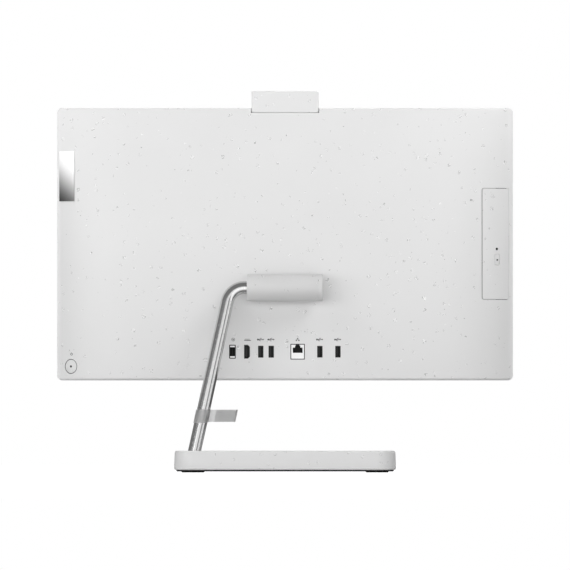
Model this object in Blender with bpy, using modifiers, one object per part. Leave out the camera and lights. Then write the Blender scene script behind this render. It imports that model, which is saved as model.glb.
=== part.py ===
"""All-in-one desktop computer: a thin white display housing with the computer inside it, carried on a
bent metal tube over a flat rectangular base.

The screen faces -Y, +X is on the right of a person using it and +Z is up. The origin is on the ground
under the middle of the whole object. Lengths below are in millimetres, and a mesh is turned into metres
when it is made."""

import math

import bmesh
import bpy
from mathutils import Matrix, Vector

MM = 0.001
GAP = 0.3

# Display housing
FRAME_HALF_W = 270.4
FRAME_Z = (109.3, 432.5)
FRAME_Y = (-30.0, -18.2)
FRAME_WALL = 1.5
FRAME_RADIUS = 6.0
COVER_HALF_W = FRAME_HALF_W - FRAME_WALL - GAP
COVER_Z = (FRAME_Z[0] + FRAME_WALL + GAP, FRAME_Z[1] - FRAME_WALL - GAP)
COVER_FRONT_Y = -21.5
COVER_EDGE_Y = -17.5
COVER_RISE = 33.5
COVER_TAPER = 20.0
TAPER_FROM_Z = 218.0
TAPER_SPAN = 214.5
SIDE_SWEEP = 110.0
COVER_WALL = 2.0
BACK_Y = COVER_EDGE_Y + COVER_RISE
SCREEN_HALF_W = 263.5
SCREEN_Z = (128.8, 425.3)

# Hinge and stand
HINGE_Y = 36.0
HINGE_Z = 218.7
HINGE_R = 16.0
HINGE_X = (-45.2, 45.2)
TUBE_R = 7.675
TUBE_WALL = 1.5
BEND_X = 64.8
BEND_RADIUS = 21.0
TUBE_LEAN_X = 0.2177
TUBE_LEAN_Y = 0.145
TUBE_FOOT_Z = 12.0
CLIP_Z = (58.6, 74.4)
HOOK_Z = (59.8, 74.2)

# Base
BASE_HALF_W = 130.8
BASE_HALF_D = 92.5
BASE_Z = (3.2, 25.7)
BASE_RADIUS = 23.0

# Camera
CAMERA_HALF_W = 39.7
CAMERA_Y = (-26.0, -4.5)
CAMERA_Z = (426.8, 452.2)

# Optical drive
DRIVE_X = (-239.8, -113.0)
DRIVE_Y = (-15.0, -5.5)
DRIVE_Z = (207.4, 334.6)
BEZEL_X = (-265.5, -233.9)
BEZEL_Y = -14.7
BEZEL_Z = (205.4, 336.7)

# Rear sockets: name, centre x, width, height
PORT_Z = 143.0
LAN_X = -14.9
PORT_Y = (0.5, 15.7)
USB_PORTS = (
    ("port_usb_1", 28.8, 6.4, 14.1),
    ("port_usb_2", 16.4, 6.4, 14.1),
    ("port_usb_3", -41.2, 6.4, 13.8),
    ("port_usb_4", -62.6, 6.4, 13.8),
)

PARTS = bpy.data.collections.new("all_in_one_computer")
CUTTERS = bpy.data.collections.new("cutters")
MATERIALS = {}


def clear_scene():
    for obj in list(bpy.data.objects):
        bpy.data.objects.remove(obj)
    for collection in (PARTS, CUTTERS):
        bpy.context.scene.collection.children.link(collection)
    CUTTERS.hide_render = True


def paint(name, colour, metallic=0.0, roughness=0.5):
    material = bpy.data.materials.new(name)
    material.use_nodes = True
    shader = material.node_tree.nodes["Principled BSDF"]
    shader.inputs["Base Color"].default_value = (*colour, 1.0)
    shader.inputs["Metallic"].default_value = metallic
    shader.inputs["Roughness"].default_value = roughness
    material.diffuse_color = (*colour, 1.0)
    MATERIALS[name] = material


def make_paints():
    paint("white_plastic", (0.8, 0.8, 0.8), roughness=0.45)
    paint("grey_plastic", (0.42, 0.42, 0.42), roughness=0.4)
    paint("black_plastic", (0.02, 0.02, 0.02), roughness=0.5)
    paint("rubber_black", (0.03, 0.03, 0.03), roughness=0.9)
    paint("brushed_aluminium", (0.62, 0.62, 0.62), metallic=1.0, roughness=0.3)
    paint("steel_sheet", (0.5, 0.5, 0.5), metallic=1.0, roughness=0.4)
    paint("copper_pipe", (0.7, 0.35, 0.2), metallic=1.0, roughness=0.35)
    paint("board_green", (0.02, 0.16, 0.07), roughness=0.5)
    paint("screen_glass", (0.01, 0.01, 0.012), roughness=0.12)
    paint("chrome_plate", (0.6, 0.6, 0.6), metallic=1.0, roughness=0.15)


def finish(bm, name, material, at=(0.0, 0.0, 0.0)):
    """The object holding this bmesh, with its origin at a point given in millimetres."""
    bmesh.ops.recalc_face_normals(bm, faces=bm.faces)
    bmesh.ops.translate(bm, verts=bm.verts, vec=-Vector(at))
    bmesh.ops.scale(bm, verts=bm.verts, vec=(MM, MM, MM))
    mesh = bpy.data.meshes.new(name)
    bm.to_mesh(mesh)
    bm.free()
    obj = bpy.data.objects.new(name, mesh)
    obj.location = Vector(at) * MM
    PARTS.objects.link(obj)
    if material:
        mesh.materials.append(MATERIALS[material])
    return obj


def loft(name, loops, material=None, at=(0.0, 0.0, 0.0)):
    """A closed body through loops of equally many points, with a flat face on the first and the last."""
    bm = bmesh.new()
    rings = [[bm.verts.new(point) for point in loop] for loop in loops]
    for lower, upper in zip(rings, rings[1:]):
        for i in range(len(lower)):
            j = (i + 1) % len(lower)
            bm.faces.new((lower[i], lower[j], upper[j], upper[i]))
    bm.faces.new(rings[0][::-1])
    bm.faces.new(rings[-1])
    return finish(bm, name, material, at)


def on_axis(axis, u, v, w):
    return {"X": (w, u, v), "Y": (u, w, v), "Z": (u, v, w)}[axis]


def curve_mesh(curve):
    """What a curve makes, in millimetres and with its caps joined on, so that a Boolean can use it."""
    helper = bpy.data.objects.new(curve.name + "_helper", curve)
    bpy.context.scene.collection.objects.link(helper)
    graph = bpy.context.evaluated_depsgraph_get()
    mesh = bpy.data.meshes.new_from_object(helper.evaluated_get(graph))
    bpy.data.objects.remove(helper)
    bm = bmesh.new()
    bm.from_mesh(mesh)
    bpy.data.meshes.remove(mesh)
    bmesh.ops.remove_doubles(bm, verts=bm.verts, dist=0.00001)
    bmesh.ops.scale(bm, verts=bm.verts, vec=(1 / MM, 1 / MM, 1 / MM))
    return bm


def add_spline(curve, points, cyclic=False):
    spline = curve.splines.new("POLY")
    spline.points.add(len(points) - 1)
    for spot, point in zip(spline.points, points):
        spot.co = (*(Vector(point).to_3d() * MM), 1.0)
    spline.use_cyclic_u = cyclic


def prism(name, outline, axis, lo, hi, material=None, at=(0.0, 0.0, 0.0)):
    """A flat outline of (u, v) points, extruded along one world axis from lo to hi."""
    curve = bpy.data.curves.new(name + "_outline", "CURVE")
    curve.dimensions = "2D"
    curve.fill_mode = "BOTH"
    curve.extrude = (hi - lo) / 2 * MM
    add_spline(curve, outline, cyclic=True)
    bm = curve_mesh(curve)
    middle = (lo + hi) / 2
    for vert in bm.verts:
        u, v, w = vert.co
        vert.co = on_axis(axis, u, v, w + middle)
    bm.normal_update()
    return finish(bm, name, material, at)


def rectangle(u, v, radius=0.0, steps=3):
    """The outline of a rectangle spanning the pairs u and v, with rounded corners."""
    if radius <= 0:
        return [(u[0], v[0]), (u[1], v[0]), (u[1], v[1]), (u[0], v[1])]
    corners = (
        (u[1] - radius, v[1] - radius, 0),
        (u[0] + radius, v[1] - radius, 90),
        (u[0] + radius, v[0] + radius, 180),
        (u[1] - radius, v[0] + radius, 270),
    )
    points = []
    for cu, cv, start in corners:
        for i in range(steps + 1):
            angle = math.radians(start + 90 * i / steps)
            points.append((cu + radius * math.cos(angle), cv + radius * math.sin(angle)))
    return points


def circle(cu, cv, radius, sides=24):
    turns = [2 * math.pi * (i + 0.5) / sides for i in range(sides)]
    return [(cu + radius * math.cos(a), cv + radius * math.sin(a)) for a in turns]


def blocks(name, spans, material=None, at=(0.0, 0.0, 0.0)):
    """Separate boxes in one mesh, each given as its x, y and z spans."""
    bm = bmesh.new()
    for x, y, z in spans:
        size = Vector((x[1] - x[0], y[1] - y[0], z[1] - z[0]))
        middle = Vector((x[0] + x[1], y[0] + y[1], z[0] + z[1])) / 2
        matrix = Matrix.Translation(middle) @ Matrix.Diagonal((*size, 1))
        bmesh.ops.create_cube(bm, size=1, matrix=matrix)
    return finish(bm, name, material, at)


def block(name, x, y, z, material=None, at=(0.0, 0.0, 0.0)):
    return blocks(name, [(x, y, z)], material, at)


def turned(name, profile, foot, towards, material=None, closed=True, steps=24):
    """A profile of (radius, height) points turned about an axis that starts at foot.

    The outer side of the profile runs from the far end of the axis back to the foot."""
    mesh = bpy.data.meshes.new(name)
    points = [(r * MM, 0.0, h * MM) for r, h in profile]
    edges = [(i, i + 1) for i in range(len(points) - 1)]
    if closed:
        edges.append((len(points) - 1, 0))
    mesh.from_pydata(points, edges, [])
    obj = bpy.data.objects.new(name, mesh)
    obj.location = Vector(foot) * MM
    obj.rotation_mode = "QUATERNION"
    obj.rotation_quaternion = Vector(towards).to_track_quat("Z", "Y")
    PARTS.objects.link(obj)
    screw = obj.modifiers.new("turn", "SCREW")
    screw.axis = "Z"
    screw.angle = 2 * math.pi
    screw.steps = screw.render_steps = steps
    screw.use_merge_vertices = True
    screw.merge_threshold = 0.00001
    if material:
        mesh.materials.append(MATERIALS[material])
    return obj


def rod(name, foot, towards, radius, length, material=None, steps=24, bevel=0.0):
    profile = [(0, length), (radius - bevel, length)]
    if bevel:
        profile.append((radius, length - bevel))
        profile.append((radius, bevel))
        profile.append((radius - bevel, 0))
    else:
        profile.append((radius, 0))
    profile.append((0, 0))
    return turned(name, profile, foot, towards, material, False, steps)


def sleeve(name, foot, towards, outer, inner, length, material=None, steps=24):
    profile = [(outer, length), (outer, 0), (inner, 0), (inner, length)]
    return turned(name, profile, foot, towards, material, True, steps)


def boolean(target, operation, others):
    for other in others:
        modifier = target.modifiers.new(other.name, "BOOLEAN")
        modifier.operation = operation
        modifier.solver = "EXACT"
        modifier.object = other
        if other.name in PARTS.objects:
            PARTS.objects.unlink(other)
            CUTTERS.objects.link(other)
        other.hide_render = True
        other.display_type = "WIRE"


def cut(target, *others):
    boolean(target, "DIFFERENCE", others)


def add(target, *others):
    boolean(target, "UNION", others)


def keep_inside(target, *others):
    boolean(target, "INTERSECT", others)


def side_share(x):
    """How far the rear cover has risen at x, 0 at its side edge and 1 where it is flat, and its slope."""
    s = min(max(COVER_HALF_W - abs(x), 0.0), SIDE_SWEEP)
    left = 1 - s / SIDE_SWEEP
    return 1 - left**3, 3 * left**2 / SIDE_SWEEP


def cover_rise(z):
    return COVER_RISE - COVER_TAPER * (max(z - TAPER_FROM_Z, 0.0) / TAPER_SPAN) ** 2


def cover_y(x, z):
    """The outer surface of the rear cover: swept back from both side edges, thinner towards the top."""
    return COVER_EDGE_Y + cover_rise(z) * side_share(x)[0]


def edge_drop(z):
    """What the small fillets along the bottom and top edges take off the outer surface."""
    for near, radius in ((z - COVER_Z[0], 3.0), (COVER_Z[1] - z, 2.0)):
        if 0 <= near < radius:
            return radius - math.sqrt(radius**2 - (radius - near) ** 2)
    return 0.0


def outer_y(x, z):
    return cover_y(x, z) - edge_drop(z)


def inner_y(x, z):
    slope = cover_rise(z) * side_share(x)[1]
    return cover_y(x, z) - COVER_WALL * math.sqrt(1 + slope**2)


def crowned(name, xs, zs, front, height, material=None):
    """A block with a flat front and a back surface y = height(x, z) through a grid of points."""
    bm = bmesh.new()
    back = [[bm.verts.new((x, height(x, z), z)) for x in xs] for z in zs]
    for j in range(len(zs) - 1):
        for i in range(len(xs) - 1):
            bm.faces.new((back[j][i], back[j][i + 1], back[j + 1][i + 1], back[j + 1][i]))
    rim = back[0][:-1] + [row[-1] for row in back[:-1]]
    rim += back[-1][:0:-1] + [row[0] for row in back[:0:-1]]
    flat = [bm.verts.new((vert.co.x, front, vert.co.z)) for vert in rim]
    for i in range(len(rim)):
        j = (i + 1) % len(rim)
        bm.faces.new((rim[i], rim[j], flat[j], flat[i]))
    bm.faces.new(flat)
    return finish(bm, name, material)


def both_sides(offsets, half):
    """Grid lines at these distances from both side edges."""
    left = [-half + s for s in offsets]
    return left + [-x for x in reversed(left)]


def normal_at(x, z):
    """The outward direction of the rear cover's surface, taken level."""
    slope = cover_rise(z) * side_share(x)[1]
    return Vector((math.copysign(slope, x), 1.0, 0.0)).normalized()


def along_normal(name, outline, x, z, depth, material=None, at=None):
    """An outline drawn on the rear cover around (x, z), pushed along its normal between two depths."""
    out = normal_at(x, z)
    across = out.cross(Vector((0.0, 0.0, 1.0)))
    centre = Vector((x, cover_y(x, z), z))
    loops = []
    for d in depth:
        loops.append([centre + across * u + Vector((0, 0, v)) + out * d for u, v in outline])
    return loft(name, loops, material, at or tuple(centre))


def front_frame():
    def outline(inset):
        x = (-FRAME_HALF_W + inset, FRAME_HALF_W - inset)
        z = (FRAME_Z[0] + inset, FRAME_Z[1] - inset)
        return rectangle(x, z, FRAME_RADIUS - inset * 0.8, 4)

    steps = ((FRAME_Y[0], 0.9), (FRAME_Y[0] + 0.9, 0.0), (FRAME_Y[1] - 0.7, 0.0), (FRAME_Y[1], 0.6))
    loops = [[(u, y, v) for u, v in outline(inset)] for y, inset in steps]
    frame = loft("front_frame", loops, "white_plastic")
    inside = prism("frame_inside", outline(FRAME_WALL), "Y", FRAME_Y[0] + 1.7, FRAME_Y[1] + 1)
    screen = rectangle((-SCREEN_HALF_W, SCREEN_HALF_W), SCREEN_Z)
    window = prism("screen_window", screen, "Y", FRAME_Y[0] - 1, FRAME_Y[0] + 3)
    notch = block("frame_notch", (-40.1, 40.1), (-27.4, -17), (CAMERA_Z[0] - 0.4, 440))
    cut(frame, inside, window, notch)


def vent_cutters():
    """Exhaust slots in the top wall, intake slots and speaker grilles in the bottom wall."""
    spans = []
    for i in range(16):
        x = 58 + i * 9.0
        spans.append(((x, x + 4.0), (-19.5, -8.5), (COVER_Z[1] - 5, COVER_Z[1] + 5)))
    for i in range(16):
        x = -96 + i * 12.0
        spans.append(((x, x + 4.0), (-14, 8), (COVER_Z[0] - 5, COVER_Z[0] + 5)))
    for side in (-1, 1):
        for i in range(8):
            x = side * (160 + i * 8.5)
            spans.append(((x - 1.5, x + 1.5), (-14, -4), (COVER_Z[0] - 5, COVER_Z[0] + 5)))
    return blocks("vent_slots", spans)


def port_cutters():
    """Round-cornered windows in the rear face for the row of sockets."""
    cutters = []
    for name, x, width, height in USB_PORTS:
        span = (x - width / 2, x + width / 2), (PORT_Z - height / 2, PORT_Z + height / 2)
        cutters.append(prism(name + "_hole", rectangle(*span), "Y", 8, 20))
    cutters.append(prism("power_hole", rectangle((58.35, 66.25), (134.75, 151.25)), "Y", 8, 20))
    cutters.append(prism("hdmi_hole", hdmi_outline(0.0), "Y", 8, 20))
    cutters.append(prism("lan_hole", rectangle((-23.45, -6.35), (133.7, 152.3)), "Y", 8, 20))
    return cutters


def hdmi_outline(inset):
    """A tall slot whose corners on the -X side are cut off, drawn in by inset."""
    x0, x1, z0, z1 = 41.65 + inset, 48.55 - inset, 134.8 + inset, 151.2 - inset
    chamfer = 2.4 - inset * 0.5
    side = [(x0 + chamfer, z1), (x0, z1 - chamfer), (x0, z0 + chamfer), (x0 + chamfer, z0)]
    return [(x1, z0), (x1, z1), *side]


def rear_cover():
    offsets = (0, 2, 5, 9, 14, 20, 28, 38, 50, 64, 80, 95, 110)
    xs = both_sides(offsets, COVER_HALF_W)
    low, high = COVER_Z
    zs = [low, low + 0.4, low + 1.4, low + 3.0, TAPER_FROM_Z]
    zs += [250, 275, 300, 322, 344, 364, 384, 402, 418, high - 2.0, high - 0.8, high]
    cover = crowned("rear_cover", xs, zs, COVER_FRONT_Y, outer_y, "white_plastic")
    outline = rectangle((-COVER_HALF_W, COVER_HALF_W), COVER_Z, 4.6, 4)
    keep_inside(cover, prism("cover_outline", outline, "Y", -40, 60))
    inner_half = COVER_HALF_W - 1.8
    inner_xs = both_sides((0, 3, 8, 15, 25, 38, 54, 74, 108.2), inner_half)
    inner_zs = (low + 1.8, TAPER_FROM_Z, 258, 298, 332, 364, 396, high - 1.8)
    cut(cover, crowned("cover_inside", inner_xs, inner_zs, COVER_FRONT_Y - 1, inner_y))
    cut(cover, *port_cutters())
    drive = rectangle((BEZEL_X[0] - 9.0, BEZEL_X[1] + 0.4), (BEZEL_Z[0] - 0.4, BEZEL_Z[1] + 0.4), 2.4, 2)
    cut(cover, prism("drive_opening", drive, "Y", BEZEL_Y - GAP, 40))
    cut(cover, block("camera_notch", (-40.1, 40.1), (-30, 20), (CAMERA_Z[0] - 0.5, 440)))
    neck = rectangle((-30.4, 30.4), (HINGE_Z - 8.9, HINGE_Z + 8.9))
    cut(cover, prism("neck_opening", neck, "Y", 5, 25))
    button = circle(0, 0, 8.8, 24)
    cut(cover, along_normal("button_hole", button, 254.0, 125.7, (-8, 4)))
    cut(cover, vent_cutters())


def screen():
    outline = rectangle((-265.0, 265.0), (126.0, 428.5))
    prism("lcd_panel", outline, "Y", -28.0, -26.8, "screen_glass")
    outline = rectangle((-262.5, 262.5), (126.5, 425.5), 2, 2)
    prism("backlight_unit", outline, "Y", -26.5, -18.9, "steel_sheet")
    outline = rectangle((-250, 250), (118, 422), 4, 2)
    plate = prism("chassis_plate", outline, "Y", -17.5, -16.3, "steel_sheet")
    for i, (x, z) in enumerate(((-96, 121), (96, 121), (-96, 196), (66, 196))):
        add(plate, prism(f"standoff_{i}", circle(x, z, 3.0, 8), "Y", -17.0, -1.7))
    cut(plate, block("cable_slot", (-86, -64), (-19, -15), (202, 210)))
    windows = [((x, x + 60), (-19, -15), (z, z + 44)) for x in (-190, -110, 60) for z in (236, 352)]
    cut(plate, blocks("plate_windows", windows))


def mainboard():
    board = prism("mainboard", rectangle((-100, 100), (117, 200)), "Y", -1.4, 0.2, "board_green")
    cut(board, blocks("board_notch", [((94.6, 110), (-3, 2), (186, 210))]))
    block("processor", (-12, 12), (0.5, 1.7), (166, 190), "steel_sheet")
    block("cpu_cold_plate", (-20, 20), (2.0, 4.2), (160, 196), "copper_pipe")
    rod("coin_cell", (45, 0.5, 163.3), (0, 1, 0), 10, 3.2, "steel_sheet", 20)
    block("m2_ssd", (72, 94), (1.6, 3.4), (118, 194), "board_green")
    block("wifi_card", (-98, -76), (1.6, 3.0), (118.5, 148.5), "board_green")
    socket = block("memory_socket", (-95.5, -26.5), (0.5, 9.0), (153.5, 158.5), "black_plastic")
    slots = [((-95.1, -26.9), (y, y + 2.0), (155.5, 160)) for y in (2.2, 6.0)]
    cut(socket, blocks("memory_slots", slots))
    block("memory_module_1", (-94.8, -27.2), (2.6, 3.8), (156, 186), "board_green")
    block("memory_module_2", (-94.8, -27.2), (6.4, 7.6), (156, 186), "board_green")


def curve_body(name, points, radius, material, resolution=4):
    """A round bar along a path."""
    curve = bpy.data.curves.new(name + "_path", "CURVE")
    curve.dimensions = "3D"
    curve.bevel_depth = radius * MM
    curve.bevel_resolution = resolution
    curve.use_fill_caps = True
    add_spline(curve, points)
    return finish(curve_mesh(curve), name, material)


def cooling():
    path = [(-16, 7.1, 178), (88, 7.1, 178), (94, 6.5, 181), (98, 4, 188), (98, -5.1, 214)]
    path += [(98, -5.1, 373), (100.5, -5.1, 379.5), (107, -5.1, 382), (171, -5.1, 382)]
    curve_body("heat_pipe", path, 2.6, "copper_pipe", 2)
    comb = [(112, -15.7), (174, -15.7)]
    for i in range(14):
        x = 174 - i * 4.7
        comb += [(x, -8.0), (x - 0.9, -8.0)]
        if i < 13:
            comb += [(x - 0.9, -14.6), (x - 4.7, -14.6)]
    prism("heat_sink", comb, "Z", 372, 392, "brushed_aluminium")
    outline = rectangle((110, 176), (300, 369), 6, 2)
    housing = prism("fan_housing", outline, "Y", -15.5, -4.5, "black_plastic")
    cut(housing, prism("fan_room", circle(143, 334, 29.5, 24), "Y", -14.4, -5.5))
    cut(housing, block("fan_outlet", (116, 170), (-14.4, -5.5), (340, 371)))
    cut(housing, prism("fan_intake", circle(143, 334, 19, 20), "Y", -7, -3))
    add(housing, prism("fan_post", circle(143, 334, 3.0, 10), "Y", -15.0, -8.5))
    blades = []
    for i in range(13):
        for turn, radius in ((0.0, 12.0), (0.5, 27.8), (0.62, 27.5), (0.3, 12.0)):
            angle = 2 * math.pi * (i + turn) / 13
            blades.append((143 + radius * math.cos(angle), 334 + radius * math.sin(angle)))
    rotor = prism("fan_rotor", blades, "Y", -13.6, -6.2, "grey_plastic", (143, -10.0, 334))
    cut(rotor, prism("rotor_bore", circle(143, 334, 3.4, 10), "Y", -16, -7.6))


def storage():
    channel = [(-72, -16.0), (32, -16.0), (32, -9), (31.2, -9), (31.2, -15.2)]
    channel += [(-71.2, -15.2), (-71.2, -9), (-72, -9)]
    prism("hard_drive_bracket", channel, "Z", 294, 372, "steel_sheet")
    prism("hard_drive", rectangle((-70, 30), (298, 368), 1.5, 2), "Y", -14.9, -7.9, "brushed_aluminium")


def speakers():
    for name, side in (("speaker_left", 1), ("speaker_right", -1)):
        x = sorted((side * 152, side * 232))
        body = prism(name, rectangle(x, (116, 142), 3, 2), "Y", -15.0, -2.5, "black_plastic")
        cut(body, prism(name + "_cone", circle(side * 175, 129, 9.5, 16), "Y", -5, 0))


def display_cable():
    """A flat strip from the mainboard through the chassis plate to the back of the panel."""
    path = [(-2.1, 176), (-2.1, 203), (-4.5, 206), (-16.0, 206), (-18.2, 203.8), (-18.2, 180)]
    near, far = [], []
    for i, (y, z) in enumerate(path):
        before = Vector(path[max(i - 1, 0)])
        after = Vector(path[min(i + 1, len(path) - 1)])
        along = (after - before).normalized()
        across = Vector((-along.y, along.x)) * 0.2
        near.append((y + across.x, z + across.y))
        far.append((y - across.x, z - across.y))
    prism("display_cable", near + far[::-1], "X", -84, -66, "black_plastic")


def ports():
    y0, y1 = PORT_Y
    for name, x, width, height in USB_PORTS:
        half_w, half_h = width / 2 - GAP, height / 2 - GAP
        z = (PORT_Z - half_h, PORT_Z + half_h)
        shell = prism(name, rectangle((x - half_w, x + half_w), z), "Y", y0, y1, "steel_sheet")
        hollow = rectangle((x - half_w + 0.4, x + half_w - 0.4), (z[0] + 0.4, z[1] - 0.4))
        cut(shell, prism(name + "_hollow", hollow, "Y", y0 + 2, y1 + 2))
    jack = prism("port_power", rectangle((58.65, 65.95), (135.05, 150.95)), "Y", y0, y1, "black_plastic")
    cut(jack, prism("jack_hollow", rectangle((60.05, 64.55), (137.2, 148.8)), "Y", y0 + 3, y1 + 2))
    shell = prism("port_hdmi", hdmi_outline(GAP), "Y", y0, y1, "steel_sheet")
    cut(shell, prism("hdmi_hollow", hdmi_outline(GAP + 0.4), "Y", y0 + 2, y1 + 2))
    lan = prism("port_ethernet", rectangle((-23.15, -6.65), (134.0, 152.0)), "Y", y0, y1, "white_plastic")
    half = ((5.75, 138.9), (5.75, 147.7), (3.0, 147.7), (3.0, 149.9), (1.7, 149.9), (1.7, 151.3))
    keyed = [(LAN_X + u, v) for u, v in half] + [(LAN_X - u, v) for u, v in reversed(half)]
    cut(lan, prism("lan_hollow", keyed, "Y", y0 + 2, y1 + 2))


def power_button():
    x, z = 254.0, 125.7
    along_normal("power_button", circle(0, 0, 8.5, 24), x, z, (-3.0, -0.1), "white_plastic")
    board = rectangle((-9, 9), (-7, 7))
    along_normal("power_button_board", board, x, z, (-6.4, -5.2), "board_green")


def optical_drive():
    case = block("drive_case", DRIVE_X, DRIVE_Y, DRIVE_Z, "steel_sheet")
    wall = 0.8
    x = (DRIVE_X[0] - 2, DRIVE_X[1] - wall)
    y, z = ((low + wall, high - wall) for low, high in (DRIVE_Y, DRIVE_Z))
    cut(case, block("drive_room", x, y, z))
    outline = rectangle((-240.3, -118.5), (209.0, 333.0), 3, 2)
    tray = prism("drive_tray", outline, "Y", -13.4, -7.1, "black_plastic")
    centre = (-179.0, 271.0)
    cut(tray, prism("disc_recess", circle(*centre, 59.5, 40), "Y", -8.9, 0))
    cut(tray, prism("hub_hole", circle(*centre, 17.5, 20), "Y", -12.0, 0))
    cut(tray, block("lens_slot", (-160.0, -128.0), (-12.0, -8), (264, 278)))
    hub = [(0, 5.2), (4.5, 5.2), (7.4, 3.6), (7.4, 3.0), (16, 3.0), (16, 1.2), (0, 1.2)]
    turned("drive_spindle", hub, (centre[0], -12.9, centre[1]), (0, 1, 0), "steel_sheet", False, 20)
    bezel()


def bezel():
    xs = [-COVER_HALF_W + s for s in (1.5, 6, 10, 15, 21, 28, 38)]
    zs = (BEZEL_Z[0] - 4, TAPER_FROM_Z, 244, 270, 296, 318, BEZEL_Z[1] + 4)
    front = crowned("drive_bezel", xs, zs, -20, cover_y, "white_plastic")
    keep_inside(front, prism("bezel_outline", rectangle(BEZEL_X, BEZEL_Z, 2.0, 2), "Y", BEZEL_Y, 30))
    cut(front, block("case_room", (-240.6, -230), (-20, DRIVE_Y[1] + 0.6), (200, 340)))
    button = rectangle((-3.2, 3.2), (-6.4, 6.4), 1.6, 2)
    x, z = -251.4, 252.4
    hole = rectangle((-3.5, 3.5), (-6.7, 6.7), 1.9, 2)
    cut(front, along_normal("eject_hole", hole, x, z, (-5.0, 3)))
    along_normal("eject_button", button, x, z, (-3.6, 0.1), "white_plastic")
    cut(front, along_normal("release_hole", circle(0, 0, 0.8, 10), -251.2, 265.0, (-8, 3)))


def camera():
    front, back = CAMERA_Y
    loops = []
    for y, inset in ((front, 0.8), (front + 0.8, 0.0), (back - 0.8, 0.0), (back, 0.8)):
        x = (-CAMERA_HALF_W + inset, CAMERA_HALF_W - inset)
        z = (CAMERA_Z[0] + inset, CAMERA_Z[1] - inset)
        loops.append([(u, y, v) for u, v in rectangle(x, z, 1.4, 3)])
    housing = loft("camera_housing", loops, "white_plastic")
    cut(housing, block("camera_room", (-36, 36), (-30, -8), (436, 449)))
    outline = rectangle((-35.7, 35.7), (436.3, 448.7))
    window = prism("camera_window", outline, "Y", -25.8, -24.6, "screen_glass")
    cut(window, prism("lens_hole", circle(0, 442.5, 3.6, 20), "Y", -30, -20))
    rod("camera_lens", (0, -14.2, 442.5), (0, -1, 0), 3.2, 11.2, "black_plastic", 20, 0.4)
    block("camera_board", (-32, 32), (-13.9, -12.9), (438, 447), "board_green")
    spans = (6.5, 18.5), (-26.9, -26.1), (438.5, 446.5)
    shutter = block("privacy_shutter", *spans, "white_plastic", (12.5, -26.5, 442.5))
    ridges = [((x0, x0 + 0.8), (-27.3, -26.7), (440, 445)) for x0 in (10.5, 12.1, 13.7)]
    add(shutter, blocks("shutter_ridges", ridges))


def badge():
    xs = (250.2, 252.4, 255.0, 258.0, 261.0, 264.0, 266.4, 268.0)
    zs = (321.7, 341.0, 361.0, 381.1)
    bm = bmesh.new()
    layers = []
    for lift in (0.3, 1.1):
        layers.append([[bm.verts.new((x, cover_y(x, z) + lift, z)) for x in xs] for z in zs])
    for layer in layers:
        for j in range(len(zs) - 1):
            for i in range(len(xs) - 1):
                bm.faces.new((layer[j][i], layer[j][i + 1], layer[j + 1][i + 1], layer[j + 1][i]))
    rims = []
    for back in layers:
        rim = back[0][:-1] + [row[-1] for row in back[:-1]]
        rims.append(rim + back[-1][:0:-1] + [row[0] for row in back[:0:-1]])
    for i in range(len(rims[0])):
        j = (i + 1) % len(rims[0])
        bm.faces.new((rims[0][i], rims[0][j], rims[1][j], rims[1][i]))
    finish(bm, "badge_plate", "chrome_plate")


def hinge():
    axis = (HINGE_Y, HINGE_Z)
    outline = rectangle((-45, 45), (205, 277), 5, 2)
    bracket = prism("hinge_bracket", outline, "Y", -16.0, -13.0, "steel_sheet")
    add(bracket, block("neck", (-30, 30), (-14, 33), (HINGE_Z - 8.5, HINGE_Z + 8.5)))
    cut(bracket, rod("barrel_seat", (-60, *axis), (1, 0, 0), 11.3, 120))
    sleeve("hinge_barrel", (-34, *axis), (1, 0, 0), 11.0, 6.35, 53, "steel_sheet")
    profile = [(8.1, 84.2), (15.2, 84.2), (16.0, 83.4), (16.0, 0), (11.8, 0), (11.8, 81.2), (8.1, 81.2)]
    housing = turned("hinge_housing", profile, (-39, *axis), (1, 0, 0), "white_plastic", True, 32)
    slot = block("neck_slot", (-30.4, 30.4), (0, HINGE_Y), (HINGE_Z - 8.9, HINGE_Z + 8.9))
    cut(housing, slot)
    cap = [(0, 5.9), (16.0, 5.9), (16.0, 1.6), (14.4, 0), (0, 0)]
    turned("hinge_end_cap", cap, (HINGE_X[0], *axis), (1, 0, 0), "white_plastic", False, 32)
    rod("hinge_shaft", (-38.5, *axis), (1, 0, 0), 5.85, 88, "steel_sheet", 20)
    nut = [(9.2, 3.0), (9.2, 0), (6.2, 0), (6.2, 3.0)]
    turned("hinge_washers", nut, (-37.5, *axis), (1, 0, 0), "steel_sheet", True, 20)


def tube_path(start_x, foot_z):
    """The centre line: level out of the hinge, one bend, then straight down and outwards to the base."""
    corner = Vector((BEND_X, HINGE_Y, HINGE_Z))
    level = Vector((1.0, 0.0, 0.0))
    down = tube_direction()
    turn = level.angle(down)
    reach = BEND_RADIUS * math.tan(turn / 2)
    start = corner - level * reach
    inward = (down - level * down.dot(level)).normalized()
    centre = start + inward * BEND_RADIUS
    points = [Vector((start_x, HINGE_Y, HINGE_Z))]
    for i in range(9):
        a = turn * i / 8
        points.append(centre - inward * BEND_RADIUS * math.cos(a) + level * BEND_RADIUS * math.sin(a))
    points.append(tube_at(foot_z))
    return points


def tube_direction():
    return Vector((TUBE_LEAN_X, TUBE_LEAN_Y, -1.0)).normalized()


def tube_at(z):
    """The middle of the tube's straight length at height z."""
    drop = HINGE_Z - z
    return Vector((BEND_X + TUBE_LEAN_X * drop, HINGE_Y + TUBE_LEAN_Y * drop, z))


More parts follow.
